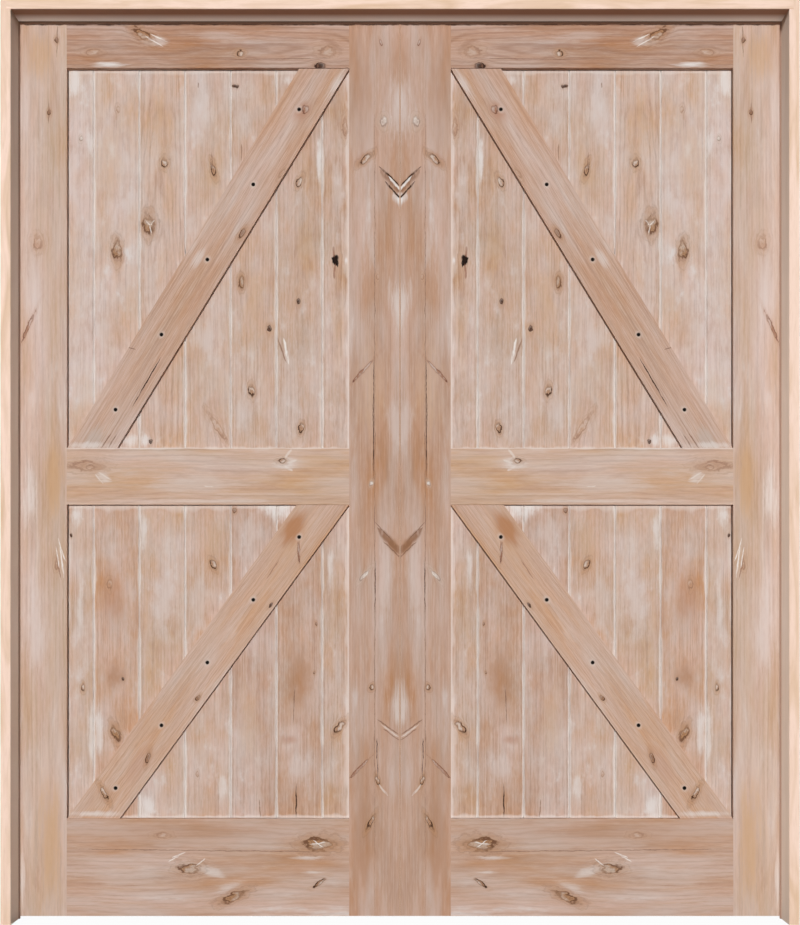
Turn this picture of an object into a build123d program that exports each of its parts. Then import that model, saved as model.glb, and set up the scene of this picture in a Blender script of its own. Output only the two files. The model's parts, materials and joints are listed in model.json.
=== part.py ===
from build123d import *
import os
from math import atan2, degrees, sqrt

os.makedirs("parts", exist_ok=True)

# Exterior pair of doors in a rabbeted wood frame, in millimetres
# +X is right as seen from outside, -Y is the outside, +Z is up
# The origin is at the bottom centre of the whole unit

# Leaves, 84 in high and trimmed to 35 7/8 in each for use as a pair
leaf_width = 911.2
leaf_height = 2133.6
leaf_thickness = 44.45
meeting_gap = 3.4
hinge_gap = 3.0
head_gap = 3.0
floor_gap = 5.0

# Stiles and rails, joined by haunched mortise and tenon
stile_width = 119.4
top_rail_height = 114.4
mid_rail_height = 134.8
bottom_rail_height = 232.0
lower_panel_height = 747.4
groove_depth = 12.0
tenon_length = 60.0
tenon_shoulder = 16.0
joint_fit = 0.2

# Tongue and groove planks, loose in the grooves of stiles and rails
# Their widths are shares of the panel's width, and those at its two sides are ripped narrower
plank_count = 7
plank_share = 0.1627
first_plank_share = 0.0907
plank_thickness = 19.05
plank_chamfer = 2.4
plank_play = 2.0
tongue_thickness = 6.4
tongue_length = 6.0

# Diagonal braces, planted on the outside of the planks
brace_width = 101.6
brace_thickness = 9.5

# Brace screws, one into each full plank, their heads sunk in counterbores
# Screws and their holes are drawn with few sides, because there are many
screw_sides = 8
screw_fit = 0.1
brace_screw_length = 20.0
brace_screw_radius = 2.2
brace_screw_head_radius = 3.6
brace_screw_head_height = 2.2
brace_screw_sink = 2.8

# Frame of two jambs and a head, rabbeted on the inside for the leaves
jamb_thickness = 24.0
jamb_depth = 116.0
rabbet_depth = 10.0
jamb_easing = 1.2

# Weatherstrip, a soft bulb on a tail that is pushed into a kerf
seal_room = 8.0
seal_clearance = 0.3
seal_round = 2.5
side_seal_reach = 3.0
head_seal_reach = 5.0
kerf_width = 3.0
kerf_depth = 10.0
kerf_setback = 3.5
meeting_seal_depth = 26.0
meeting_seal_width = 7.0
meeting_seal_reach = 1.6
meeting_kerf_depth = 7.0

# Butt hinges, three to a leaf, let in flush with the edges they screw to
# The bores around the pins are out of sight, so they are drawn with few sides
hinge_height = 101.6
hinge_reach = 36.0
hinge_plate = 2.6
hinge_top_drop = 178.0
hinge_foot_rise = 279.0
barrel_radius = 7.0
barrel_offset = 8.0
knuckle_count = 3
knuckle_play = 0.3
pin_radius = 4.0
pin_fit = 0.06
pin_bore_sides = 12
pin_head_radius = 6.6
pin_head_height = 3.0

# Countersunk screw holes of a hinge plate, as shares of its height and of its reach
hinge_hole_shares = ((-0.33, 0.68), (0.0, 0.36), (0.33, 0.68))
hinge_hole_radius = 2.5
hinge_sink_radius = 4.6

# Places that follow from the sizes, across the left half
pair_half = meeting_gap / 2 + leaf_width
hinge_edge = -pair_half
meeting_edge = -meeting_gap / 2
panel_left = hinge_edge + stile_width
panel_right = meeting_edge - stile_width
panel_width = panel_right - panel_left
panel_centre = (panel_left + panel_right) / 2
rabbet_side = hinge_edge - hinge_gap
reveal_side = rabbet_side + rabbet_depth
outer_side = reveal_side - jamb_thickness

# Places from the outside to the inside
front = -(jamb_depth + barrel_offset + barrel_radius) / 2
back = front + jamb_depth
face = back - leaf_thickness
mid_depth = back - leaf_thickness / 2
panel_face = mid_depth - plank_thickness / 2
brace_face = panel_face - brace_thickness
shoulder = face - seal_room

# Places from the foot up
leaf_foot = floor_gap
leaf_top = leaf_foot + leaf_height
lower_panel_foot = leaf_foot + bottom_rail_height
lower_panel_top = lower_panel_foot + lower_panel_height
upper_panel_foot = lower_panel_top + mid_rail_height
upper_panel_top = leaf_top - top_rail_height
head_rabbet = leaf_top + head_gap
soffit = head_rabbet - rabbet_depth
frame_top = soffit + jamb_thickness

# Each rail by its lower edge, its upper edge and the edges that hold planks
rails = {
    "bottom": (leaf_foot, lower_panel_foot, ("upper",)),
    "mid": (lower_panel_top, upper_panel_foot, ("lower", "upper")),
    "top": (upper_panel_top, leaf_top, ("lower",)),
}
panels = {
    "lower": (lower_panel_foot, lower_panel_top),
    "upper": (upper_panel_foot, upper_panel_top),
}
groove_width = plank_thickness + 2 * joint_fit

# Hinge centres, with the middle one halfway between the others
low_hinge = leaf_foot + hinge_foot_rise + hinge_height / 2
high_hinge = leaf_top - hinge_top_drop - hinge_height / 2
hinge_centres = (low_hinge, (low_hinge + high_hinge) / 2, high_hinge)
pin_x = hinge_edge - hinge_gap / 2
pin_y = back + barrel_offset


def finish(piece, label):
    """Name a finished piece and write it to its own file."""
    piece.part.label = label
    export_step(piece.part, f"parts/{label}.step")


def seam(number):
    """The joint line after so many planks, counted from the hinge stile."""
    return panel_left + panel_width * (first_plank_share + plank_share * (number - 1))


def brace_cut(width, height):
    """Length of a brace's level end cut, when its long edges run corner to corner."""
    rise = height**2 - brace_width**2
    lean = brace_width**2 * width
    reach = brace_width**2 * (width**2 + height**2)
    return (sqrt(lean**2 + rise * reach) - lean) / rise


def brace_screw_places(panel):
    """Where the brace's centre line crosses the middle of each full plank."""
    foot, top = panels[panel]
    cut = brace_cut(panel_width, top - foot)
    places = []
    for number in range(1, plank_count - 1):
        across = (seam(number) + seam(number + 1)) / 2
        climb = (across - panel_left - cut / 2) / (panel_width - cut)
        places.append((across, foot + climb * (top - foot)))
    return places


def outward_planes(depth, places):
    """Planes at one depth that face the outside, one at each place."""
    return [Plane(origin=(x, depth, z), x_dir=(1, 0, 0), z_dir=(0, -1, 0)) for x, z in places]


def drill(planes, radius, depth):
    """Cut a screw hole of one radius inwards from each plane."""
    with BuildSketch(*planes) as holes:
        RegularPolygon(radius, screw_sides)
    extrude(holes.sketch, amount=-depth, mode=Mode.SUBTRACT)


def hinge_pockets():
    """Outlines of the three shallow seats that hinge plates are let into."""
    with Locations(*[(back, centre) for centre in hinge_centres]):
        Rectangle(
            hinge_reach + joint_fit,
            hinge_height + 2 * joint_fit,
            align=(Align.MAX, Align.CENTER),
        )


def hinge_plates(plate_side, open_side, outward, first_knuckle):
    """Three hinge plates, each with every second knuckle of its barrel."""
    pitch = hinge_height / knuckle_count
    with BuildSketch(Plane.YZ.offset(plate_side)) as plates:
        with Locations(*[(back, centre) for centre in hinge_centres]):
            Rectangle(hinge_reach, hinge_height, align=(Align.MAX, Align.CENTER))
    extrude(plates.sketch, amount=hinge_plate)
    for centre in hinge_centres:
        for number in range(first_knuckle, knuckle_count, 2):
            knuckle_foot = centre - hinge_height / 2 + number * pitch + knuckle_play / 2
            with BuildSketch(Plane.XY.offset(knuckle_foot)) as knuckle:
                with Locations((pin_x, pin_y)):
                    Circle(barrel_radius)
                with Locations((plate_side, back)):
                    Rectangle(hinge_plate, barrel_offset, align=Align.MIN)
                with Locations((pin_x, pin_y)):
                    RegularPolygon(
                        pin_radius + pin_fit,
                        pin_bore_sides,
                        major_radius=False,
                        mode=Mode.SUBTRACT,
                    )
            extrude(knuckle.sketch, amount=pitch - knuckle_play)
    sinks = [
        Plane(
            origin=(open_side, back - inward * hinge_reach, centre + along * hinge_height),
            x_dir=(0, 1, 0),
            z_dir=(outward, 0, 0),
        )
        for centre in hinge_centres
        for along, inward in hinge_hole_shares
    ]
    with BuildSketch(*sinks) as holes:
        RegularPolygon(hinge_sink_radius, screw_sides)
    lean = degrees(atan2(hinge_sink_radius - hinge_hole_radius, hinge_plate))
    extrude(holes.sketch, amount=-hinge_plate, taper=lean, mode=Mode.SUBTRACT)


# Each leaf and its side of the frame, the right one a mirror image of the left
for side in ("left", "right"):

    def hand():
        """Turn the piece being made into its mirror image on the right side."""
        if side == "right":
            mirror(about=Plane.YZ, mode=Mode.REPLACE)

    # Jamb, with a rabbet for the leaf, a kerf for the seal and a lap that takes the head
    with BuildPart() as jamb:
        with BuildSketch() as section:
            with BuildLine():
                Polyline(
                    (outer_side, front),
                    (reveal_side, front),
                    (reveal_side, shoulder),
                    (rabbet_side, shoulder),
                    (rabbet_side, back),
                    (outer_side, back),
                    close=True,
                )
            make_face()
            chamfer(section.vertices().group_by(Axis.Y)[0], jamb_easing)
            with Locations((reveal_side - kerf_setback, shoulder)):
                Rectangle(kerf_width, kerf_depth, align=(Align.MAX, Align.MAX), mode=Mode.SUBTRACT)
        extrude(amount=frame_top)
        with BuildSketch(Plane.XY.offset(soffit)):
            with Locations((rabbet_side, front)):
                Rectangle(rabbet_depth, shoulder - front, align=Align.MIN)
        extrude(amount=jamb_thickness, mode=Mode.SUBTRACT)
        with BuildSketch(Plane.YZ.offset(rabbet_side)):
            hinge_pockets()
        extrude(amount=-hinge_plate, mode=Mode.SUBTRACT)
        hand()
    finish(jamb, f"{side}_jamb")

    # Weatherstrip along the jamb, up to the rabbet of the head
    with BuildPart() as side_seal:
        with BuildSketch() as bulb:
            with Locations((rabbet_side + seal_clearance, shoulder)):
                Rectangle(
                    rabbet_depth + side_seal_reach - seal_clearance,
                    seal_room - seal_clearance,
                    align=Align.MIN,
                )
            fillet(bulb.vertices().group_by(Axis.X)[-1], seal_round)
        extrude(amount=head_rabbet - seal_clearance)
        with BuildSketch():
            with Locations((reveal_side - kerf_setback - joint_fit, shoulder)):
                Rectangle(kerf_width - 2 * joint_fit, kerf_depth - joint_fit, align=(Align.MAX, Align.MAX))
        extrude(amount=soffit - joint_fit)
        hand()
    finish(side_seal, f"{side}_weatherstrip")

    # Hinge plates, with the outer knuckles on the jamb and the middle one on the leaf
    with BuildPart() as frame_plates:
        hinge_plates(rabbet_side - hinge_plate, rabbet_side, 1, 0)
        hand()
    finish(frame_plates, f"{side}_hinge_frame_plates")

    with BuildPart() as door_plates:
        hinge_plates(hinge_edge, hinge_edge, -1, 1)
        hand()
    finish(door_plates, f"{side}_hinge_door_plates")

    # Pins with a button head, standing in the knuckles
    with BuildPart() as pins:
        with Locations(*[(pin_x, pin_y, centre + hinge_height / 2) for centre in hinge_centres]):
            Cylinder(pin_radius, hinge_height, align=(Align.CENTER, Align.CENTER, Align.MAX))
            Cylinder(pin_head_radius, pin_head_height, align=(Align.CENTER, Align.CENTER, Align.MIN))
        hand()
    finish(pins, f"{side}_hinge_pins")

    # Stiles, grooved for the planks and mortised for the rails
    for place, outer, inner, inward in (
        ("hinge", hinge_edge, panel_left, -1),
        ("lock", meeting_edge, panel_right, 1),
    ):
        with BuildPart() as stile:
            with BuildSketch(Plane.XY.offset(leaf_foot)):
                with Locations(((outer + inner) / 2, mid_depth)):
                    Rectangle(stile_width, leaf_thickness)
                with Locations((inner + inward * groove_depth / 2, mid_depth)):
                    Rectangle(groove_depth, groove_width, mode=Mode.SUBTRACT)
                if side == "left" and place == "lock":
                    with Locations((meeting_edge, back - meeting_seal_depth)):
                        Rectangle(
                            meeting_kerf_depth,
                            kerf_width,
                            align=(Align.MAX, Align.CENTER),
                            mode=Mode.SUBTRACT,
                        )
            extrude(amount=leaf_height)
            with BuildSketch(Plane.YZ.offset(inner)):
                for foot, top, _ in rails.values():
                    with Locations((mid_depth, (foot + top) / 2)):
                        Rectangle(groove_width, top - foot - 2 * tenon_shoulder + 2 * joint_fit)
            extrude(amount=inward * (tenon_length + joint_fit), mode=Mode.SUBTRACT)
            if place == "hinge":
                with BuildSketch(Plane.YZ.offset(outer)):
                    hinge_pockets()
                extrude(amount=hinge_plate, mode=Mode.SUBTRACT)
            hand()
        finish(stile, f"{side}_{place}_stile")

    # Rails, grooved on the edges that hold planks, with a haunched tenon at each end
    for rail_name, (foot, top, grooved) in rails.items():
        with BuildPart() as rail:
            with BuildSketch(Plane.YZ.offset(panel_centre)):
                with Locations((mid_depth, (foot + top) / 2)):
                    Rectangle(leaf_thickness, top - foot)
            extrude(amount=panel_width / 2, both=True)
            with BuildSketch(Plane.YZ.offset(panel_centre)):
                with Locations((mid_depth, (foot + top) / 2)):
                    Rectangle(plank_thickness, top - foot)
            extrude(amount=panel_width / 2 + groove_depth - joint_fit, both=True)
            with BuildSketch(Plane.YZ.offset(panel_centre)):
                with Locations((mid_depth, (foot + top) / 2)):
                    Rectangle(plank_thickness, top - foot - 2 * tenon_shoulder)
            extrude(amount=panel_width / 2 + tenon_length, both=True)
            with BuildSketch(Plane.YZ.offset(panel_centre)):
                if "lower" in grooved:
                    with Locations((mid_depth, foot + groove_depth / 2)):
                        Rectangle(groove_width, groove_depth)
                if "upper" in grooved:
                    with Locations((mid_depth, top - groove_depth / 2)):
                        Rectangle(groove_width, groove_depth)
            extrude(amount=panel_width / 2 + groove_depth, both=True, mode=Mode.SUBTRACT)
            hand()
        finish(rail, f"{side}_{rail_name}_rail")

    for panel, (foot, top) in panels.items():
        screw_places = brace_screw_places(panel)

        # Planks, each with a tongue towards the lock stile and chamfers that meet in a V
        for number in range(1, plank_count + 1):
            first = number == 1
            last = number == plank_count
            start = panel_left - groove_depth + plank_play if first else seam(number - 1) + joint_fit / 2
            end = panel_right + groove_depth - plank_play if last else seam(number) - joint_fit / 2
            plank_foot = foot - groove_depth + joint_fit
            plank_top = top + groove_depth - plank_play
            with BuildPart() as plank:
                with BuildSketch(Plane.XY.offset(plank_foot)) as section:
                    with Locations((start, mid_depth)):
                        Rectangle(end - start, plank_thickness, align=(Align.MIN, Align.CENTER))
                    if not first:
                        chamfer(section.vertices().group_by(Axis.X)[0], plank_chamfer)
                        with Locations((start, mid_depth)):
                            Rectangle(
                                tongue_length + joint_fit,
                                tongue_thickness + 2 * joint_fit,
                                align=(Align.MIN, Align.CENTER),
                                mode=Mode.SUBTRACT,
                            )
                    if not last:
                        chamfer(section.vertices().group_by(Axis.X)[-1], plank_chamfer)
                        with Locations((end, mid_depth)):
                            Rectangle(tongue_length, tongue_thickness, align=(Align.MIN, Align.CENTER))
                extrude(amount=plank_top - plank_foot)
                if not first and not last:
                    pilot = outward_planes(panel_face, screw_places[number - 2 : number - 1])
                    reach = brace_screw_sink + brace_screw_length - brace_thickness
                    drill(pilot, brace_screw_radius + screw_fit, reach + screw_fit)
                hand()
            finish(plank, f"{side}_{panel}_plank_{number}")

        # Brace, cut level at both ends to fit between the rails
        cut = brace_cut(panel_width, top - foot)
        with BuildPart() as brace:
            with BuildSketch(Plane.XZ.offset(-panel_face)):
                with BuildLine():
                    Polyline(
                        (panel_left + joint_fit, foot),
                        (panel_left + cut, foot),
                        (panel_right - joint_fit, top),
                        (panel_right - cut, top),
                        close=True,
                    )
                make_face()
            extrude(amount=brace_thickness)
            counterbores = outward_planes(brace_face, screw_places)
            drill(counterbores, brace_screw_radius + screw_fit, brace_thickness)
            drill(
                counterbores,
                brace_screw_head_radius + screw_fit,
                brace_screw_sink + brace_screw_head_height,
            )
            hand()
        finish(brace, f"{side}_{panel}_brace")

    # Screws of both braces, with flat heads on the floors of the counterbores
    with BuildPart() as brace_screws:
        heads = outward_planes(
            brace_face + brace_screw_sink,
            brace_screw_places("lower") + brace_screw_places("upper"),
        )
        with BuildSketch(*heads):
            RegularPolygon(brace_screw_head_radius, screw_sides)
        extrude(amount=-brace_screw_head_height)
        with BuildSketch(*heads):
            RegularPolygon(brace_screw_radius, screw_sides)
        extrude(amount=-brace_screw_length)
        hand()
    finish(brace_screws, f"{side}_brace_screws")

# Head of the frame, lapped into the top of both jambs
with BuildPart() as head:
    with BuildSketch(Plane.YZ) as section:
        with BuildLine():
            Polyline(
                (front, soffit),
                (shoulder, soffit),
                (shoulder, head_rabbet),
                (back, head_rabbet),
                (back, frame_top),
                (front, frame_top),
                close=True,
            )
        make_face()
        chamfer(section.vertices().group_by(Axis.X)[0], jamb_easing)
        with Locations((shoulder, soffit + kerf_setback)):
            Rectangle(kerf_depth, kerf_width, align=(Align.MAX, Align.MIN), mode=Mode.SUBTRACT)
    extrude(amount=-rabbet_side, both=True)
finish(head, "head_jamb")

# Weatherstrip under the head, between those of the jambs
with BuildPart() as head_seal:
    with BuildSketch(Plane.YZ) as section:
        with Locations((shoulder, soffit - head_seal_reach)):
            Rectangle(
                seal_room - seal_clearance,
                rabbet_depth + head_seal_reach - seal_clearance,
                align=Align.MIN,
            )
        fillet(section.vertices().group_by(Axis.Y)[0], seal_round)
        with Locations((shoulder, soffit + kerf_setback + joint_fit)):
            Rectangle(kerf_depth - joint_fit, kerf_width - 2 * joint_fit, align=(Align.MAX, Align.MIN))
    extrude(amount=-reveal_side - side_seal_reach - seal_clearance, both=True)
finish(head_seal, "head_weatherstrip")

# Soft strip in the meeting edge of the left leaf, which closes the gap between the leaves
with BuildPart() as meeting_seal:
    with BuildSketch(Plane.XY.offset(leaf_foot)):
        with Locations((meeting_edge, back - meeting_seal_depth)):
            Rectangle(meeting_seal_reach, meeting_seal_width, align=(Align.MIN, Align.CENTER))
            Rectangle(
                meeting_kerf_depth - joint_fit,
                kerf_width - 2 * joint_fit,
                align=(Align.MAX, Align.CENTER),
            )
    extrude(amount=leaf_height)
finish(meeting_seal, "meeting_seal")
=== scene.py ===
# %% [markdown]
# # A pair of unfinished plank doors
# The real object is a double door of knotty alder in a pale wood frame, seen straight on from outside.
# Its shapes come from the CAD model, so this lesson is mostly about wood: how boards differ from each other,
# how grain flows round a knot, and how sanding leaves a white bloom.
# The first step loads the model and keeps its bounds.

# %% Load the model
import json
from math import atan2, pi, radians, tau

import bmesh
import bpy
from mathutils import Euler, Matrix, Vector


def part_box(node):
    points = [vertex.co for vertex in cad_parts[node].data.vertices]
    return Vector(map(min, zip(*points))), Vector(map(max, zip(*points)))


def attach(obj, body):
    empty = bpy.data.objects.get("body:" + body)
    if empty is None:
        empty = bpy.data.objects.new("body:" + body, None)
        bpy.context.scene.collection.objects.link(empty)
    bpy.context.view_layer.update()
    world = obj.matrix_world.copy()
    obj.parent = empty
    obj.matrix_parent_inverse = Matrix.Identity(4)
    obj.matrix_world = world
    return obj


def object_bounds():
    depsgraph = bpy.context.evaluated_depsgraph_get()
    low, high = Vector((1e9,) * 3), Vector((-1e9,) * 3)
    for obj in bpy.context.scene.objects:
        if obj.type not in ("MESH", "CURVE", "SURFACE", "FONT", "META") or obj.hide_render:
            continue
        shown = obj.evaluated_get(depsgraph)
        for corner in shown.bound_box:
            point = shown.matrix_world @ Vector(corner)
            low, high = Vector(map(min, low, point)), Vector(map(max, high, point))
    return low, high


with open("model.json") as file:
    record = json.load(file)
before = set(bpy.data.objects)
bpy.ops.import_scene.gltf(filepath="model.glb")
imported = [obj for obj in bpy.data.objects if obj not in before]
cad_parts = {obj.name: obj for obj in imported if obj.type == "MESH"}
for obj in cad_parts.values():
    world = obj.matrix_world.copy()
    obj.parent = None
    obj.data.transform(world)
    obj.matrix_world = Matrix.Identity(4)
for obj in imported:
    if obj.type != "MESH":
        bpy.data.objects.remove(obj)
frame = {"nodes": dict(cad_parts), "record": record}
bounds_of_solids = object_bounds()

bpy.ops.object.select_all(action="DESELECT")
print("bounds of the solids:", bounds_of_solids)

# %% [markdown]
# ## Camera
# The photograph is 800 by 925 pixels and looks straight at the doors.
# The jambs show how far away it was taken: the doors sit deeper than the front of the frame, and look
# 2.3 per cent smaller for it. A vertical shift keeps upright lines upright, as on a view camera.
# A longer or shorter lens could frame the doors as well, but the depth of the reveals would come out wrong.

# %% Camera
photo_height = 925
eye_distance = 3.07  # metres to the front of the frame
eye_height = 0.7097
frame_pixel = 0.0023266  # metres to a pixel on the front of the frame
horizon_row = 620.0
front_of_frame = bounds_of_solids[0][1]

camera = bpy.data.objects.new("camera", bpy.data.cameras.new("camera"))
bpy.context.scene.collection.objects.link(camera)
camera.location = (0, front_of_frame - eye_distance, eye_height)
camera.rotation_euler = (radians(90), 0, 0)
camera.data.sensor_width = 36
camera.data.lens = camera.data.sensor_width * eye_distance / (frame_pixel * photo_height)
camera.data.shift_y = (horizon_row - photo_height / 2) / photo_height
bpy.context.scene.camera = camera
bpy.context.scene.view_settings.view_transform = "Standard"
print("lens in millimetres:", round(camera.data.lens, 2))

# %% [markdown]
# ## Small helpers
# Every material below is a small graph of nodes. One function adds a node, sets it and links it.
# Colours are written as hex values, as in a paint program, and turned to the linear values that light needs.
# A pattern that is used on many boards becomes a group, which is built once and then used like any other node.

# %% Helpers for nodes and colours
def linear(hex_colour):
    """A hex colour as linear red, green, blue and an alpha of one."""
    parts = [int(hex_colour[start : start + 2], 16) / 255 for start in (1, 3, 5)]
    return (*[p / 12.92 if p <= 0.04045 else ((p + 0.055) / 1.055) ** 2.4 for p in parts], 1)


def add(tree, kind, links=None, **settings):
    """A node with its settings, its inputs linked or set, and its outputs handed back."""
    node = tree.nodes.new(f"ShaderNode{kind}")
    for name, value in settings.items():
        setattr(node, name, value)
    for socket, value in (links or {}).items():
        if isinstance(value, bpy.types.NodeSocket):
            tree.links.new(value, node.inputs[socket])
        else:
            node.inputs[socket].default_value = value
    return node.outputs


def new_group(name, inputs, outputs):
    """An empty group of nodes with its sockets, ready to be filled and used many times."""
    group = bpy.data.node_groups.new(name, "ShaderNodeTree")
    for socket, kind in inputs.items():
        group.interface.new_socket(socket, in_out="INPUT", socket_type=f"NodeSocket{kind}")
    for socket, kind in outputs.items():
        group.interface.new_socket(socket, in_out="OUTPUT", socket_type=f"NodeSocket{kind}")
    given = group.nodes.new("NodeGroupInput").outputs
    result = group.nodes.new("NodeGroupOutput").inputs
    return group, given, result


def new_material(name):
    """A material with an empty graph, and that graph."""
    material = bpy.data.materials.new(name)
    material.use_nodes = True
    material.node_tree.nodes.clear()
    return material, material.node_tree


print("half grey in linear light:", round(linear("#808080")[0], 3))

# %% [markdown]
# ## Studio
# The two leaves were lit alike but from opposite sides: each has a thin, crisp shadow under its rails, along its
# hinge stile and under the lower edge of its braces. So each leaf has a key of its own, flagged off the rest,
# as a photographer does with black card. Light linking is Blender's black card, and it works by collections,
# so the first step gathers what each lamp may light.

# %% What each lamp lights
bodies = {}
for body, names in frame["record"]["behaviour"]["bodies"].items():
    bodies[body] = [frame["nodes"][name] for name in names]
bodies["head"] = [frame["nodes"]["head_jamb"]]
bodies["left_side"] = [frame["nodes"]["left_jamb"]]
bodies["right_side"] = [frame["nodes"]["right_jamb"]]
print("pieces to light:", {body: len(pieces) for body, pieces in bodies.items()})

# %% [markdown]
# Two wider keys model the depth of the frame: the one from the left is stronger, because the right reveal is the
# brighter one. Two side keys reach only the outer edges of the jambs, for views from the side. A weak card below
# lifts the underside of the head, and a key from behind is for views of the inside.
# One lamp could light everything, but then the shadows of one leaf would be wrong on the other.

# %% Lamps
# Each lamp's angle to the side and above, its strength, its softness in degrees and what it lights.
lamps = {
    "left_leaf_key": (-10, 8.5, 2.52, 1.5, "left_leaf"),
    "right_leaf_key": (10, 8.5, 2.52, 1.5, "right_leaf"),
    "left_frame_key": (-25, 20, 2.4, 12, "frame"),
    "right_frame_key": (30, 20, 0.65, 12, "frame"),
    "left_side_key": (-90, 25, 1.7, 12, "left_side"),
    "right_side_key": (90, 25, 1.7, 12, "right_side"),
    "soffit_card": (0, -80, 0.46, 20, "head"),
    "inside_key": (160, 38, 2.6, 12, None),
}
flags = {}
for name, (side_angle, rise, strength, softness, body) in lamps.items():
    lamp = bpy.data.lights.new(name, "SUN")
    lamp.energy = strength
    lamp.angle = radians(softness)
    key = bpy.data.objects.new(name, lamp)
    key.rotation_euler = Euler((radians(90 - rise), 0, radians(side_angle)))
    bpy.context.scene.collection.objects.link(key)
    if body:
        if body not in flags:
            flags[body] = bpy.data.collections.new(f"lit with the {body}")
            for node in bodies[body]:
                flags[body].objects.link(node)
        key.light_linking.receiver_collection = flags[body]
        key.light_linking.blocker_collection = flags[body]
print("lamps:", list(lamps))

# %% [markdown]
# The sky gives a weak, even fill, and is plain white where the camera, a reflection or glass looks straight at it.
# A bright sky would do both at once, but it would also wash out the thin shadows that show the depth of the joints.

# %% Sky
fill_strength = 0.13

sky = bpy.data.worlds.new("studio")
bpy.context.scene.world = sky
sky.use_nodes = True
tree = sky.node_tree
tree.nodes.clear()
ray = add(tree, "LightPath")
seen = add(tree, "Math", {0: ray["Is Camera Ray"], 1: ray["Is Glossy Ray"]}, operation="MAXIMUM")
seen = add(tree, "Math", {0: seen[0], 1: ray["Is Transmission Ray"]}, operation="MAXIMUM")
strength = add(tree, "MapRange", {0: seen[0], 3: fill_strength, 4: 1.0})
shine = add(tree, "Background", {"Color": linear("#FFFFFF"), "Strength": strength[0]})
add(tree, "OutputWorld", {"Surface": shine[0]})
print("fill from the sky:", fill_strength)

# %% [markdown]
# The floor is a sweep of white paper. To the camera it is nearly all plain white, and the little that isn't takes
# the shadow of the doors and fades out with distance, so that no edge of the paper shows. To the doors it is a
# mid grey, which keeps its bounce off the foot of the leaves.

# %% Floor
floor_size = 14
fade_from, fade_to = 1.0, 3.5  # metres from the middle of the doors
white_near = 0.97

bpy.ops.mesh.primitive_plane_add(size=floor_size, location=(0, 0, 0))
floor = bpy.context.object
floor.name = "studio_floor"
flags["frame"].objects.link(floor)
paper, tree = new_material("white paper sweep")
ray = add(tree, "LightPath")
matte = add(tree, "BsdfDiffuse", {"Color": linear("#6E6A66")})
white = add(tree, "Emission", {"Color": linear("#FFFFFF"), "Strength": 1.0})
place = add(tree, "TexCoord")
far = add(tree, "VectorMath", {0: place["Object"]}, operation="LENGTH")
far = add(tree, "MapRange", {0: far["Value"], 1: fade_from, 2: fade_to, 3: white_near, 4: 1.0})
part_white = add(tree, "Math", {0: ray["Is Camera Ray"], 1: far[0]}, operation="MULTIPLY")
mixed = add(tree, "MixShader", {0: part_white[0], 1: matte[0], 2: white[0]})
add(tree, "OutputMaterial", {"Surface": mixed[0]})
floor.data.materials.append(paper)
print("floor:", floor_size, "metres square")

# %% [markdown]
# ## How the photograph maps to the leaf
# Knots and pale patches are placed where they are on the real left leaf.
# Each is written as a place in the photograph, in pixels, and turned into metres on the face of the leaf.
# The right leaf is a mirror image, so the graphs read minus the absolute value of x, and serve both leaves.

# %% From photograph to leaf
leaf_pixel = 0.0023808  # metres to a pixel on the face of the leaves
middle_column = 400.25
leaf_foot_row = 916.0
leaf_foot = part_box("left_hinge_stile")[0][2]


def on_leaf(column, row):
    """A place on the face of the left leaf, from a place in the photograph."""
    return Vector(((column - middle_column) * leaf_pixel, 0, leaf_foot + (leaf_foot_row - row) * leaf_pixel))


def on_photo(place):
    """The column and row of a place on the face of the left leaf."""
    return middle_column + place.x / leaf_pixel, leaf_foot_row - (place.z - leaf_foot) / leaf_pixel


print("left leaf's top corner:", on_leaf(20, 24))

# %% [markdown]
# ## Grain that flows round knots
# A branch grows through the trunk, and the fibres part and pass it on both sides.
# This group measures how near a point is to one knot, in knot sizes, and pushes the point towards the knot's
# middle line. Drawn at the pushed place, a straight fibre looks as if it bulged around the knot.
# Painting the curves one by one would look as good, but this way every pattern on the board bends alike.

# %% Group: fibres that pass a knot
knot_reach = 3.2  # in knot sizes

passing, given, result = new_group(
    "fibres pass a knot",
    {"Flow": "Vector", "Place": "Vector", "Wobble": "Vector", "Centre": "Vector", "Half": "Vector",
     "Lean": "Vector", "Push": "Float"},
    {"Flow": "Vector", "Near": "Float", "Tail": "Float", "Side": "Float"},
)
apart = add(passing, "VectorMath", {0: given["Place"], 1: given["Centre"]}, operation="SUBTRACT")
turned = add(passing, "Mapping", {"Vector": apart[0], "Rotation": given["Lean"]}, vector_type="POINT")
scaled = add(passing, "VectorMath", {0: turned[0], 1: given["Half"]}, operation="DIVIDE")
scaled = add(passing, "VectorMath", {0: given["Wobble"], 1: (2.0, 0, 2.0), 2: scaled[0]},
             operation="MULTIPLY_ADD")
flat = add(passing, "VectorMath", {0: scaled[0], 1: (1, 0, 1)}, operation="MULTIPLY")
near = add(passing, "VectorMath", {0: flat[0]}, operation="LENGTH")
axes = add(passing, "SeparateXYZ", {0: flat[0]})
reach = add(passing, "MapRange", {0: near["Value"], 1: 0.0, 2: knot_reach, 3: 1.0, 4: 0.0},
            interpolation_type="SMOOTHERSTEP")
width = add(passing, "SeparateXYZ", {0: given["Half"]})
push = add(passing, "Math", {0: axes["X"], 1: reach[0]}, operation="MULTIPLY")
push = add(passing, "Math", {0: push[0], 1: width["X"]}, operation="MULTIPLY")
push = add(passing, "Math", {0: push[0], 1: given["Push"]}, operation="MULTIPLY")
aside = add(passing, "CombineXYZ", {0: push[0]})
moved = add(passing, "VectorMath", {0: given["Flow"], 1: aside[0]}, operation="SUBTRACT")
passing.links.new(moved[0], result["Flow"])
passing.links.new(near["Value"], result["Near"])

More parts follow.
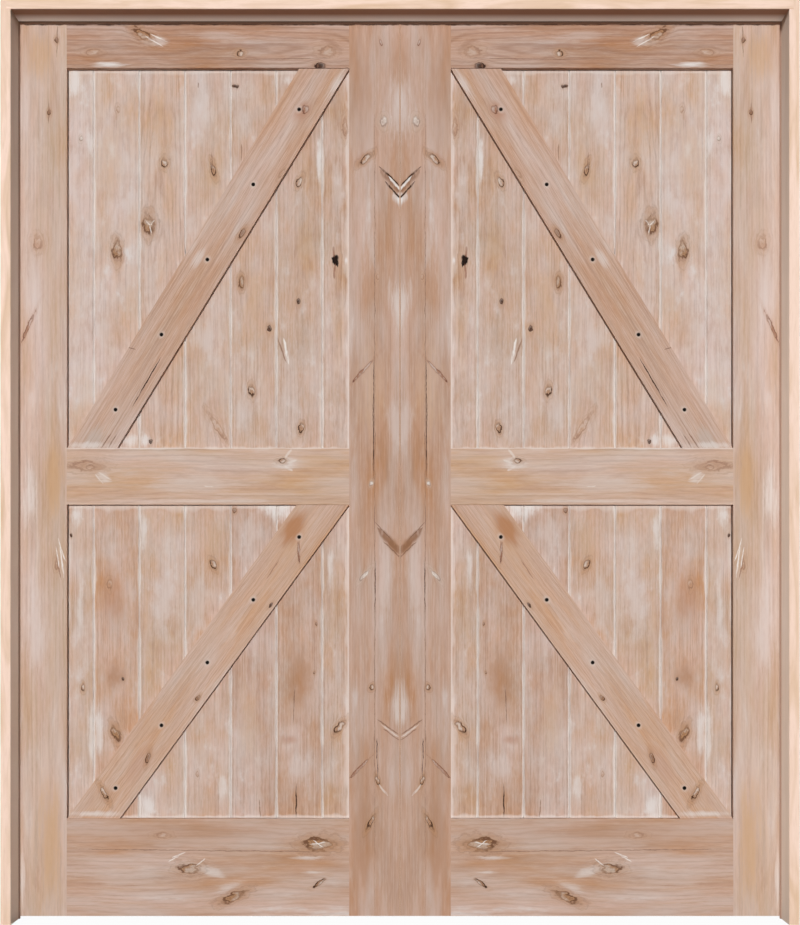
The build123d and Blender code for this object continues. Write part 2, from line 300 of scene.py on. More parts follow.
# The tail is the same nearness, drawn out along the grain. The side says which way from the knot the point lies.
drawn_out = add(passing, "VectorMath", {0: flat[0], 1: (1, 0, 0.75)}, operation="MULTIPLY")
tail = add(passing, "VectorMath", {0: drawn_out[0]}, operation="LENGTH")
passing.links.new(tail["Value"], result["Tail"])
side = add(passing, "VectorMath", {0: flat[0], 1: (-0.6, 0, -0.8)}, operation="DOT_PRODUCT")
passing.links.new(side["Value"], result["Side"])
print("group:", passing.name, len(passing.nodes), "nodes")

# %% [markdown]
# ## Alder
# Alder is a fine, even wood. Bare and sanded it is tan, and dull, and sanding dust in its pores lays a pale rose
# haze over it. The eye sees four things in a board: rings cut at a slant, which draw nested arches; fine fibres
# along the board; drifts of haze; and, here and there, a whiter bloom.
# All patterns are much longer along the board than across it, so the place is squeezed along the grain first.
# A photograph of a board could be used instead, but a graph can be different on each of twenty-one boards.

# %% Group: bare alder, its sockets and places
alder, given, result = new_group(
    "bare alder",
    {"Flow": "Vector", "Place": "Vector", "Offset": "Vector", "Tan": "Color", "Haze": "Float", "Figure": "Float",
     "Fibre": "Float", "Wipe": "Vector"},
    {"Colour": "Color", "Breakup": "Float"},
)
shifted = add(alder, "VectorMath", {0: given["Flow"], 1: given["Offset"]}, operation="ADD")
long = add(alder, "VectorMath", {0: shifted[0], 1: (1, 1, 0.014)}, operation="MULTIPLY")
short = add(alder, "VectorMath", {0: shifted[0], 1: (1, 1, 0.07)}, operation="MULTIPLY")
longish = add(alder, "VectorMath", {0: shifted[0], 1: (1, 1, 0.3)}, operation="MULTIPLY")
print("sockets of", alder.name + ":", list(given.keys()))

# %% [markdown]
# A tree's rings are round. A board is a slice that leans a little against the trunk, so the distance to the pith
# grows along the board as well as across it, and a sine of that distance draws the nested arches.
# A slow sway keeps the rings from being perfect.

# %% Rings
ring_spacing = 0.011
sway_size = 0.1111
sway_turn = 34.0  # in radians, so a little over five rings
pith_lean = 0.055
pith_depth = 0.016

sway = add(alder, "TexNoise", {"Vector": longish[0], "Scale": 1 / sway_size, "Detail": 3.0})
slant = add(alder, "SeparateXYZ", {0: given["Flow"]})
deep = add(alder, "Math", {0: slant["Z"], 1: pith_lean, 2: pith_depth}, operation="MULTIPLY_ADD")
across = add(alder, "CombineXYZ", {0: slant["X"], 1: deep[0]})
radius = add(alder, "VectorMath", {0: across[0]}, operation="LENGTH")
turn = add(alder, "Math", {0: radius["Value"], 1: tau / ring_spacing}, operation="MULTIPLY")
turn = add(alder, "Math", {0: sway[0], 1: sway_turn, 2: turn[0]}, operation="MULTIPLY_ADD")
ring = add(alder, "Math", {0: turn[0]}, operation="SINE")
ring = add(alder, "MapRange", {0: ring[0], 1: 0.0, 2: 1.0, 3: 0.0, 4: 0.24})
ring = add(alder, "Math", {0: ring[0], 1: given["Figure"]}, operation="MULTIPLY")
print("rings every", 1000 * ring_spacing, "mm")

# %% [markdown]
# Four noises do the rest. Real alder fibres and pores are finer than a pixel of the photograph, so they are drawn
# as coarse as they need to be to show. Drift and bloom are as wide as the marks of a hand that wipes dust.

# %% Fibres, pores, drift and bloom
fibre_width = 0.0036
pore_width = 0.0015
drift_size = 0.07
bloom_size = 0.03

fibre = add(alder, "TexNoise", {"Vector": long[0], "Scale": 1 / fibre_width, "Detail": 3.0, "Roughness": 0.7})
pore = add(alder, "TexNoise", {"Vector": short[0], "Scale": 1 / pore_width, "Detail": 2.0, "Roughness": 0.6})
wiped = add(alder, "VectorMath", {0: given["Place"], 1: given["Wipe"]}, operation="MULTIPLY")
drift = add(alder, "TexNoise", {"Vector": wiped[0], "Scale": 1 / drift_size, "Detail": 4.0, "Roughness": 0.6})
dust = add(alder, "TexNoise", {"Vector": wiped[0], "Scale": 1 / bloom_size, "Detail": 5.0, "Roughness": 0.65})
print("noises as wide as", fibre_width, pore_width, drift_size, bloom_size)

# %% [markdown]
# Haze turns the tan to a pale rose, more on some boards than on others. The wood's warmth drifts too: some parts
# are greyer and some more golden, which the eye takes for the life in the wood. Then the rings go on.

# %% Haze, warmth and rings in colour
warm_size = 0.045
greyest, warmest = 0.77, 1.2

haze = add(alder, "Math", {0: drift[0], 1: 0.5}, operation="SUBTRACT")
haze = add(alder, "Math", {0: haze[0], 1: 1.9, 2: given["Haze"]}, operation="MULTIPLY_ADD", use_clamp=True)
colour = add(alder, "Mix", {0: haze[0], 6: given["Tan"], 7: linear("#DDC8C0")}, data_type="RGBA")
warmth = add(alder, "TexNoise", {"Vector": wiped[0], "Scale": 1 / warm_size, "Detail": 3.0, "Roughness": 0.6})
warmth = add(alder, "MapRange", {0: warmth[0], 1: 0.3, 2: 0.7, 3: greyest, 4: warmest})
colour = add(alder, "HueSaturation", {"Saturation": warmth[0], "Color": colour[2]})
rose = add(alder, "MapRange", {0: dust[0], 1: 0.5, 2: 0.3, 3: 0.0, 4: 0.5})
colour = add(alder, "Mix", {0: rose[0], 6: colour[0], 7: linear("#C6A18D")}, data_type="RGBA")
colour = add(alder, "Mix", {0: ring[0], 6: colour[2], 7: linear("#8C5E45")}, data_type="RGBA")
print("warmth drifts over", 1000 * warm_size, "mm")

# %% [markdown]
# Fibres and pores make one streak pattern. Where it is strong the wood is darker, and where it is weak paler.
# The bloom comes last, since dust lies on top. The group also hands back the bloom broken up by the streaks,
# for patches to use as a ragged edge.

# %% Streaks and bloom in colour
middle_streak = 0.77

streak = add(alder, "Math", {0: pore[0], 1: 0.55, 2: fibre[0]}, operation="MULTIPLY_ADD")
dark_share = add(alder, "MapRange", {0: streak[0], 1: middle_streak, 2: 1.15, 3: 0.0, 4: 0.42})
dark_share = add(alder, "Math", {0: dark_share[0], 1: given["Fibre"]}, operation="MULTIPLY")
colour = add(alder, "Mix", {0: dark_share[0], 6: colour[2], 7: linear("#8A604A")}, data_type="RGBA")
pale_share = add(alder, "MapRange", {0: streak[0], 1: middle_streak, 2: 0.4, 3: 0.0, 4: 0.42})
pale_share = add(alder, "Math", {0: pale_share[0], 1: given["Fibre"]}, operation="MULTIPLY")
colour = add(alder, "Mix", {0: pale_share[0], 6: colour[2], 7: linear("#E9DACF")}, data_type="RGBA")
bloom = add(alder, "MapRange", {0: dust[0], 1: 0.54, 2: 0.8}, interpolation_type="SMOOTHSTEP")
bloom = add(alder, "Math", {0: bloom[0], 1: haze[0]}, operation="MULTIPLY")
colour = add(alder, "Mix", {0: bloom[0], 6: colour[2], 7: linear("#E4DDDA")}, data_type="RGBA")
breakup = add(alder, "Math", {0: streak[0], 1: -0.45, 2: dust[0]}, operation="MULTIPLY_ADD")
breakup = add(alder, "Math", {0: breakup[0], 1: 0.155}, operation="SUBTRACT")
alder.links.new(colour[2], result["Colour"])
alder.links.new(breakup[0], result["Breakup"])
print("group:", alder.name, len(alder.nodes), "nodes")

# %% [markdown]
# ## Patches
# Sanding dust, an old water mark or a redder stretch of heartwood all look like soft clouds on a board.
# One group lays such a cloud over the colour, with an edge that the bloom's own noise breaks up.
# They could come from one more noise, but the photograph shows where they are, and the eye knows them again.

# %% Group: soft patch
patch, given, result = new_group(
    "soft patch",
    {"Colour": "Color", "Place": "Vector", "Breakup": "Float", "Centre": "Vector", "Half": "Vector",
     "Lean": "Vector", "Tint": "Color", "Share": "Float"},
    {"Colour": "Color"},
)
apart = add(patch, "VectorMath", {0: given["Place"], 1: given["Centre"]}, operation="SUBTRACT")
turned = add(patch, "Mapping", {"Vector": apart[0], "Rotation": given["Lean"]}, vector_type="POINT")
scaled = add(patch, "VectorMath", {0: turned[0], 1: given["Half"]}, operation="DIVIDE")
flat = add(patch, "VectorMath", {0: scaled[0], 1: (1, 0, 1)}, operation="MULTIPLY")
near = add(patch, "VectorMath", {0: flat[0]}, operation="LENGTH")
ragged = add(patch, "Math", {0: given["Breakup"], 1: -2.0, 2: near["Value"]}, operation="MULTIPLY_ADD")
cover = add(patch, "MapRange", {0: ragged[0], 1: 1.05, 2: 0.15}, interpolation_type="SMOOTHSTEP")
cover = add(patch, "Math", {0: cover[0], 1: given["Share"]}, operation="MULTIPLY")
colour = add(patch, "Mix", {0: cover[0], 6: given["Colour"], 7: given["Tint"]}, data_type="RGBA")
patch.links.new(colour[2], result["Colour"])
print("group:", patch.name, len(patch.nodes), "nodes")

# %% [markdown]
# Dust also stays in corners: along the seams of the planks, and where planks and rails meet. The same band also
# draws a painted highlight on the lit tops of two rails.
# This group lays it along a straight edge, in a band that noise makes wide in one place and thin in the next.
# A row of patches could do the same, but an edge needs only its level, its width and its share.

# %% Group: dust and painted highlight along an edge
dust_and_highlight, given, result = new_group(
    "dust and painted highlight along an edge",
    {"Colour": "Color", "Place": "Vector", "Uneven": "Float", "Across": "Vector", "Level": "Float",
     "Width": "Float", "Share": "Float"},
    {"Colour": "Color"},
)
off = add(dust_and_highlight, "VectorMath", {0: given["Place"], 1: given["Across"]}, operation="DOT_PRODUCT")
off = add(dust_and_highlight, "Math", {0: off["Value"], 1: given["Level"]}, operation="SUBTRACT")
off = add(dust_and_highlight, "Math", {0: off[0]}, operation="ABSOLUTE")
off = add(dust_and_highlight, "Math", {0: off[0], 1: given["Width"]}, operation="DIVIDE")
band = add(dust_and_highlight, "MapRange", {0: given["Uneven"], 1: 0.42, 2: 0.74, 3: 0.25, 4: 1.0})
cover = add(dust_and_highlight, "Math", {0: off[0], 1: band[0]}, operation="DIVIDE")
cover = add(dust_and_highlight, "MapRange", {0: cover[0], 1: 1.0, 2: 0.1}, interpolation_type="SMOOTHSTEP")
cover = add(dust_and_highlight, "Math", {0: cover[0], 1: given["Share"]}, operation="MULTIPLY")
# The pale band: dust, and on the lit tops of two rails a painted highlight.
colour = add(dust_and_highlight, "Mix", {0: cover[0], 6: given["Colour"], 7: linear("#EFE8E3")}, data_type="RGBA")
dust_and_highlight.links.new(colour[2], result["Colour"])
print("group:", dust_and_highlight.name, len(dust_and_highlight.nodes), "nodes")

# %% [markdown]
# ## Knots
# A knot is the end of a branch: a disc of harder, redder wood with its own rings and a dark rim of bark.
# Some have dried out and show white checks across them, some have fallen out and left a black hole,
# and many stand in a halo of changed wood. A knot could be modelled as a plug, but it is sanded flush, so it is
# drawn, from the outside inwards. First come the halo and the rings of the wood that closed round the branch.

# %% Group: knot, its halo and the rings around it
rings_around = 9.0

knot, given, result = new_group(
    "knot",
    {"Colour": "Color", "Near": "Float", "Tail": "Float", "Side": "Float", "Break": "Float", "Heart": "Color",
     "Rim": "Color", "Around": "Color", "Body": "Float", "Edge": "Float", "Core": "Float", "Halo": "Float",
     "Rings": "Float", "Shine": "Float"},
    {"Colour": "Color"},
)
halo = add(knot, "MapRange", {0: given["Tail"], 1: 2.3, 2: 0.5}, interpolation_type="SMOOTHSTEP")
halo = add(knot, "Math", {0: halo[0], 1: given["Halo"]}, operation="MULTIPLY")
colour = add(knot, "Mix", {0: halo[0], 6: given["Colour"], 7: given["Around"]}, data_type="RGBA")
rings = add(knot, "Math", {0: given["Tail"], 1: rings_around}, operation="MULTIPLY")
rings = add(knot, "Math", {0: given["Break"], 1: 11.0, 2: rings[0]}, operation="MULTIPLY_ADD")
rings = add(knot, "Math", {0: rings[0]}, operation="SINE")
rings = add(knot, "MapRange", {0: rings[0], 1: 0.2, 2: 1.0})
fade = add(knot, "MapRange", {0: given["Tail"], 1: 2.4, 2: 0.9})
rings = add(knot, "Math", {0: rings[0], 1: fade[0]}, operation="MULTIPLY")
rings = add(knot, "Math", {0: rings[0], 1: given["Rings"]}, operation="MULTIPLY")
colour = add(knot, "Mix", {0: rings[0], 6: colour[2], 7: given["Rim"]}, data_type="RGBA")
print("sockets of", knot.name + ":", list(given.keys()))

# %% [markdown]
# Next are the branch itself, with its own narrow rings, and the dark bark at its rim. The rim is darker on one side,
# the same side on every knot, and that darkening is painted shade.

# %% Body and rim of a knot
rings_within = 19.0
rim_place = 0.85

body = add(knot, "MapRange", {0: given["Near"], 1: 1.2, 2: 0.65}, interpolation_type="SMOOTHSTEP")
body = add(knot, "Math", {0: body[0], 1: given["Body"]}, operation="MULTIPLY")
colour = add(knot, "Mix", {0: body[0], 6: colour[2], 7: given["Heart"]}, data_type="RGBA")
inner = add(knot, "Math", {0: given["Near"], 1: rings_within}, operation="MULTIPLY")
inner = add(knot, "Math", {0: given["Break"], 1: 16.0, 2: inner[0]}, operation="MULTIPLY_ADD")
inner = add(knot, "Math", {0: inner[0]}, operation="SINE")
inner = add(knot, "Math", {0: inner[0], 1: body[0]}, operation="MULTIPLY")
inner = add(knot, "MapRange", {0: inner[0], 1: 0.1, 2: 1.0, 3: 0.0, 4: 0.6})
colour = add(knot, "Mix", {0: inner[0], 6: colour[2], 7: given["Rim"]}, data_type="RGBA")
off_rim = add(knot, "Math", {0: given["Near"], 1: rim_place}, operation="SUBTRACT")
off_rim = add(knot, "Math", {0: off_rim[0]}, operation="ABSOLUTE")
rim = add(knot, "MapRange", {0: off_rim[0], 1: 0.26, 2: 0.06}, interpolation_type="SMOOTHSTEP")
# The side of the knot that gets painted shade on its rim; the painted highlight goes on the other side.
turned_away = add(knot, "Math", {0: given["Break"], 1: 3.0, 2: given["Side"]}, operation="MULTIPLY_ADD")
dim = add(knot, "MapRange", {0: turned_away[0], 1: -0.6, 2: 0.5, 3: 0.3, 4: 1.0})
rim = add(knot, "Math", {0: rim[0], 1: dim[0]}, operation="MULTIPLY")
rim = add(knot, "Math", {0: rim[0], 1: given["Edge"]}, operation="MULTIPLY")
colour = add(knot, "Mix", {0: rim[0], 6: colour[2], 7: given["Rim"]}, data_type="RGBA")
print("rim at", rim_place, "of a knot's size")

# %% [markdown]
# Last are a pale, painted highlight inside the knot on the other side, and a dark core for knots that are rotten or
# have lost their middle.

# %% Painted highlight and core of a knot
# Painted highlight: a pale colour inside the knot, away from the rim's painted shade.
glow = add(knot, "MapRange", {0: given["Near"], 1: 0.95, 2: 0.45}, interpolation_type="SMOOTHSTEP")
toward = add(knot, "MapRange", {0: turned_away[0], 1: 0.25, 2: -0.35})
glow = add(knot, "Math", {0: glow[0], 1: toward[0]}, operation="MULTIPLY")
glow = add(knot, "Math", {0: glow[0], 1: given["Shine"]}, operation="MULTIPLY")
colour = add(knot, "Mix", {0: glow[0], 6: colour[2], 7: linear("#F3ECE5")}, data_type="RGBA")
core = add(knot, "MapRange", {0: given["Near"], 1: 0.75, 2: 0.3}, interpolation_type="SMOOTHSTEP")
core = add(knot, "Math", {0: core[0], 1: given["Core"]}, operation="MULTIPLY")
colour = add(knot, "Mix", {0: core[0], 6: colour[2], 7: linear("#22140D")}, data_type="RGBA")
knot.links.new(colour[2], result["Colour"])
print("group:", knot.name, len(knot.nodes), "nodes")

# %% [markdown]
# ## Cracks and scratches
# As wood dries it opens in thin cracks along the fibres. Sanding also leaves pale scratches.
# Both are lines from one place to another that taper to nothing at the ends and never run quite straight.
# A crack could be cut into the mesh, but these are under a millimetre deep. First comes the distance to the line.

# %% Group: line, the distance to it
line_wobble = 0.006

line, given, result = new_group(
    "line in the wood",
    {"Colour": "Color", "Place": "Vector", "Wobble": "Vector", "Start": "Vector", "Run": "Vector",
     "Width": "Float", "Tint": "Color", "Share": "Float"},
    {"Colour": "Color"},
)
flat = add(line, "VectorMath", {0: given["Place"], 1: given["Start"]}, operation="SUBTRACT")
flat = add(line, "VectorMath", {0: given["Wobble"], 1: (line_wobble,) * 3, 2: flat[0]}, operation="MULTIPLY_ADD")
flat = add(line, "VectorMath", {0: flat[0], 1: (1, 0, 1)}, operation="MULTIPLY")
along = add(line, "VectorMath", {0: flat[0], 1: given["Run"]}, operation="DOT_PRODUCT")
full = add(line, "VectorMath", {0: given["Run"], 1: given["Run"]}, operation="DOT_PRODUCT")
part = add(line, "Math", {0: along["Value"], 1: full["Value"]}, operation="DIVIDE", use_clamp=True)
foot = add(line, "VectorMath", {0: given["Run"], "Scale": part[0]}, operation="SCALE")
gap = add(line, "VectorMath", {0: flat[0], 1: foot[0]}, operation="DISTANCE")
print("sockets of", line.name + ":", list(given.keys()))

# %% [markdown]
# The width follows half a sine wave from end to end, and the wobble breaks the line in places.

# %% Taper and colour of a line
thinnest = 0.0001

taper = add(line, "Math", {0: part[0], 1: pi}, operation="MULTIPLY")
taper = add(line, "Math", {0: taper[0]}, operation="SINE")
taper = add(line, "MapRange", {0: taper[0], 1: 0.0, 2: 0.6})
wide = add(line, "Math", {0: taper[0], 1: given["Width"]}, operation="MULTIPLY")
wide = add(line, "Math", {0: wide[0], 1: thinnest}, operation="ADD")
cover = add(line, "Math", {0: gap["Value"], 1: wide[0]}, operation="DIVIDE")
cover = add(line, "MapRange", {0: cover[0], 1: 1.0, 2: 0.35}, interpolation_type="SMOOTHSTEP")
uneven = add(line, "SeparateXYZ", {0: given["Wobble"]})
broken = add(line, "MapRange", {0: uneven["Y"], 1: -0.16, 2: 0.0, 3: 0.4, 4: 1.0})
cover = add(line, "Math", {0: cover[0], 1: broken[0]}, operation="MULTIPLY")
cover = add(line, "Math", {0: cover[0], 1: given["Share"]}, operation="MULTIPLY")
colour = add(line, "Mix", {0: cover[0], 6: given["Colour"], 7: given["Tint"]}, data_type="RGBA")
line.links.new(colour[2], result["Colour"])
print("group:", line.name, len(line.nodes), "nodes")

# %% [markdown]
# ## The kinds of knot and line
# The photograph shows about ten kinds of knot and nine of line, so a mark on a board needs only its place and kind.
# A knot's kind sets the colours of its heart, its rim and the wood around it, then how strongly its body, its rim,
# its core, its halo, the rings around it and its painted highlight show. A line's kind sets its colour and its
# share.

# %% Kinds of knot, line and patch
knot_kinds = {
    "tight": ("#A87858", "#4C2C1F", "#B98A66", 0.6, 0.9, 0.25, 0.55, 0.12, 0.2),
    "faint": ("#C0967B", "#8E634C", "#C49D80", 0.3, 0.45, 0.0, 0.4, 0.22, 0.2),
    "dark": ("#7D5340", "#341E16", "#B28A6D", 0.8, 0.95, 0.7, 0.35, 0.0, 0.2),
    # An open knot has fallen out; its black is painted shade of the hole, which the mesh doesn't have.
    "open": ("#1D100A", "#1C100B", "#C9A893", 1.0, 1.0, 1.0, 0.6, 0.0, 0.0),
    "eye": ("#B98E70", "#472A1D", "#B7885F", 0.6, 0.95, 0.0, 0.55, 0.22, 0.5),
    "pale": ("#D9CBC1", "#866150", "#CDB6A5", 0.6, 0.55, 0.0, 0.5, 0.2, 0.6),
    "brown": ("#AC7F58", "#5D3828", "#B3855F", 0.7, 0.75, 0.0, 0.6, 0.25, 0.3),
    "wedge": ("#A3735A", "#6A4031", "#B98C70", 0.7, 0.75, 0.0, 0.3, 0.0, 0.35),
    "split": ("#A67A5A", "#3B2217", "#BF977A", 0.9, 1.0, 0.0, 0.3, 0.0, 0.5),
    # The black round a brace screw is painted shade of its hole, drawn wider than the hole in the mesh.
    "hole": ("#120B08", "#120B08", "#DFCFC4", 1.0, 0.6, 1.0, 0.5, 0.0, 0.0),
}
line_kinds = {
    "crack": ("#432A1D", 1.0),
    "faint crack": ("#7A5743", 0.7),
    "rose streak": ("#92604B", 0.7),
    "brown streak": ("#8A6147", 0.7),
    "worn edge": ("#8A6450", 0.6),
    "pale streak": ("#E7DAD1", 0.65),
    # A painted shadow: the dark line along the top of the leaf, under the head and its weatherstrip.
    "painted shadow under the head": ("#331F14", 1.0),
    "seam shadow": ("#9A7860", 0.22),
    "white scratch": ("#F3ECE6", 0.85),
}
patch_tints = {"white": "#EAE3DF", "haze": "#DBCBC4", "tan": "#CFA57C", "rose": "#BC8C74", "brown": "#AD7D5B",
               "grey": "#BFB4AC", "orange": "#B67E55"}
print(len(knot_kinds), "kinds of knot,", len(line_kinds), "kinds of line")

# %% [markdown]
# ## What is on each board
# These lists are read off the photograph, board by board.
# A knot is its column and row in the photograph, its width across the grain and its length along it in millimetres,
# its lean in degrees clockwise from the grain, and its kind.

# %% Knots of each board
knots = {
    "hinge_stile": [(57, 40, 9, 13, 0, "tight"), (49, 113, 9, 13, 0, "tight"), (38, 243, 22, 30, 0, "faint"),
                    (57, 565, 12, 22, 0, "faint"), (28, 328, 8, 75, 24, "wedge")],
    "lock_stile": [(381, 43, 7, 16, -20, "wedge"), (384, 121, 18, 24, 0, "pale"), (366, 159, 14, 34, 50, "eye"),
                   (378, 277, 8, 12, 0, "faint"), (372, 483, 9, 14, 20, "pale"), (365, 575, 10, 34, 40, "pale"),
                   (372, 687, 11, 14, 20, "eye"), (378, 781, 9, 22, -20, "eye"), (371, 822, 11, 36, 28, "eye"),
                   (363, 371, 7, 72, 42, "wedge"), (361, 767, 7, 74, 45, "wedge")],
    "top_rail": [(142, 34, 22, 44, 38, "brown"), (93, 52, 14, 30, 0, "faint"), (240, 53, 16, 17, 0, "eye"),
                 (321, 66, 16, 24, 0, "dark"), (327, 52, 24, 34, 0, "faint")],
    "mid_rail": [(282, 461, 13, 17, 0, "eye"), (86, 466, 24, 66, 0, "faint"), (91, 467, 11, 22, 0, "faint")],
    "bottom_rail": [(190, 868, 26, 44, 0, "brown"), (234, 897, 20, 54, -24, "brown"),
                    (318, 844, 32, 62, 0, "brown"), (320, 883, 9, 34, -35, "split"),
                    (163, 835, 14, 30, 0, "faint")],
    "upper_plank_1": [(80, 137, 9, 12, 0, "pale")],
    "upper_plank_2": [(116, 249, 22, 42, 0, "brown"), (117, 107, 8, 14, 0, "faint")],
    "upper_plank_3": [(164, 161, 17, 20, 0, "eye"), (148, 223, 28, 42, 0, "brown"),
                      (150, 441, 9, 13, 0, "dark")],
    "upper_plank_4": [(213, 168, 13, 34, -15, "eye"), (184, 249, 6, 18, 0, "dark"),
                      (218, 428, 14, 66, -32, "faint")],
    "upper_plank_5": [(235, 84, 14, 8, 0, "dark"), (241, 281, 15, 26, 0, "brown"),
                      (269, 327, 12, 15, 0, "dark"), (251, 390, 14, 24, 0, "eye")],
    "upper_plank_6": [(299, 180, 14, 26, 28, "eye"), (298, 300, 10, 16, 0, "dark"),
                      (301, 427, 14, 20, 0, "eye")],
    "upper_plank_7": [(345, 126, 14, 40, 0, "faint"), (335, 259, 16, 27, 0, "open")],
    "lower_plank_1": [(82, 688, 9, 18, 0, "eye"), (70, 535, 6, 9, 0, "dark")],
    "lower_plank_2": [(108, 584, 13, 22, 0, "faint"), (122, 679, 6, 9, 0, "dark"),
                      (115, 734, 20, 36, -20, "brown")],
    "lower_plank_3": [],
    "lower_plank_4": [(213, 564, 14, 24, -25, "eye"), (197, 775, 8, 14, 0, "faint")],
    "lower_plank_5": [(234, 510, 9, 12, 0, "tight")],
    "lower_plank_6": [(316, 624, 5, 8, 0, "tight"), (314, 673, 4, 6, 0, "tight")],
    "lower_plank_7": [(340, 727, 15, 34, 38, "eye")],
    "upper_brace": [(242, 233, 12, 26, 0, "tight"), (282, 173, 8, 24, 0, "faint"),
                    (305, 109, 18, 20, 0, "wedge")],
    "lower_brace": [(104, 793, 12, 36, -64, "eye"), (148, 758, 10, 26, -20, "tight"),
                    (198, 698, 8, 14, 0, "tight"), (271, 605, 7, 14, 0, "dark"),
                    (299, 552, 6, 50, -40, "wedge")],
}
print(sum(len(places) for places in knots.values()), "knots on each leaf")

# %% [markdown]
# The sunk screws of the braces sit in small dark holes with a pale, splintered edge, which look like one more kind
# of knot. Their dark is painted shade, drawn wider than the hole in the mesh. Their places aren't typed in: the
# screws of a leaf are one mesh, so its points are sorted by height, and each wide step between two points starts the
# next screw.

# %% Holes round the brace screws
screw_spacing = 0.05
hole_size = 9.5  # in millimetres

for panel in ("upper", "lower"):
    low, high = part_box(f"left_{panel}_brace")
    points = [v.co for v in frame["nodes"]["left_brace_screws"].data.vertices if low[2] < v.co.z < high[2]]
    points.sort(key=lambda point: point.z)
    heap = []
    for point, following in zip(points, points[1:] + [None]):
        heap.append(point)
        if following is None or following.z - point.z > screw_spacing:
            centre = sum(heap, Vector()) / len(heap)
            knots[f"{panel}_brace"].append((*on_photo(centre), hole_size, hole_size, 0, "hole"))
            heap = []
print(sum(mark[-1] == "hole" for marks in knots.values() for mark in marks), "holes on each leaf")

# %% [markdown]
# A line is the column and row of its start, those of its end, its width in millimetres and its kind.
# The painted shadow under the head, along the top of the leaf, runs past its ends, so that it doesn't taper there.

# %% Lines of each board
lines = {
    "hinge_stile": [(60, 543, 64, 578, 4, "white scratch"), (56, 546, 60, 568, 3, "white scratch"),
                    (58, 538, 66, 562, 3, "white scratch"), (56, 556, 62, 580, 3, "rose streak"),
                    (58, 24, 57, 58, 4, "worn edge"), (49, 98, 49, 124, 4, "worn edge"),
                    (-100, 24.1, 520, 24.1, 7.5, "painted shadow under the head")],
    "lock_stile": [(-100, 24.1, 620, 24.1, 7.5, "painted shadow under the head"), (375, 60, 375, 915, 1.8, "faint crack"),
                   (374, 356, 373.5, 482, 2.4, "crack"), (376, 560, 375, 612, 2.4, "crack"),
                   (377, 738, 378, 781, 2.8, "crack"), (377, 527, 404, 556, 22, "brown streak"),
                   (375, 522, 392, 540, 3, "faint crack"), (383, 541, 402, 559, 4, "faint crack"),
                   (380, 169, 404, 194, 22, "brown streak"), (379, 166, 400, 186, 6, "crack"),
                   (388, 176, 404, 193, 7, "white scratch"), (385, 181, 402, 200, 6, "crack"),
                   (377, 719, 400, 735, 4, "faint crack"), (381, 724, 400, 738, 5, "pale streak"),
                   (383, 728, 400, 741, 3, "faint crack"), (379, 784, 388, 796, 6, "pale streak")],
    "top_rail": [(-100, 24.1, 520, 24.1, 7.5, "painted shadow under the head"), (145, 36, 164, 47, 4, "white scratch"),
                 (150, 34, 168, 42, 3, "white scratch"), (210, 60, 340, 58, 1.8, "faint crack")],
    "mid_rail": [(95, 474, 104, 484, 4, "pale streak"), (98, 472, 112, 480, 4, "pale streak"),
                 (285, 458, 292, 449, 8, "pale streak"), (287, 463, 298, 460, 7, "pale streak"),
                 (285, 466, 293, 471, 7, "pale streak"), (204, 486, 214, 487, 4, "pale streak")],
    "bottom_rail": [(66, 849, 349, 852, 2.4, "faint crack"), (196, 866, 206, 858, 3, "white scratch"),
                    (310, 845, 326, 842, 3, "white scratch"), (313, 840, 324, 848, 3, "white scratch"),
                    (172, 858, 186, 852, 4, "white scratch"), (168, 862, 180, 856, 3, "white scratch")],
    "upper_plank_3": [(145, 219, 150, 224, 3, "white scratch"), (150, 224, 154, 218, 3, "white scratch"),
                      (149, 224, 151, 232, 3, "white scratch")],
    "upper_plank_4": [(198, 80, 198, 86, 3, "brown streak"), (211, 150, 213, 172, 3, "brown streak")],
    "upper_plank_5": [(241, 142, 241, 160, 3.5, "brown streak")],
    "upper_plank_6": [(277, 336, 286, 362, 4, "brown streak"), (283, 336, 289, 364, 8, "white scratch")],
    "lower_plank_5": [(259, 800, 260, 818, 3, "brown streak")],
    "lower_plank_6": [(295, 684, 293, 724, 3, "faint crack"), (296, 784, 296, 818, 4, "crack")],
    "upper_plank_7": [(335, 262, 334, 278, 6, "rose streak"), (333, 244, 334, 256, 6, "rose streak")],
    "upper_brace": [(161, 357, 132, 407, 3.2, "crack"), (111, 433, 101, 448, 3.4, "faint crack"),
                    (117, 434, 108, 447, 3, "faint crack"), (128, 347, 136, 349, 3, "faint crack")],
    "lower_brace": [(300, 540, 298, 562, 3.5, "rose streak"), (279, 560, 266, 580, 3, "rose streak")],
}
print(sum(len(runs) for runs in lines.values()), "lines on each leaf")

# %% [markdown]
# A patch is its column and row, its width across the grain and its length along it in millimetres, its lean, its
# tint and its share.

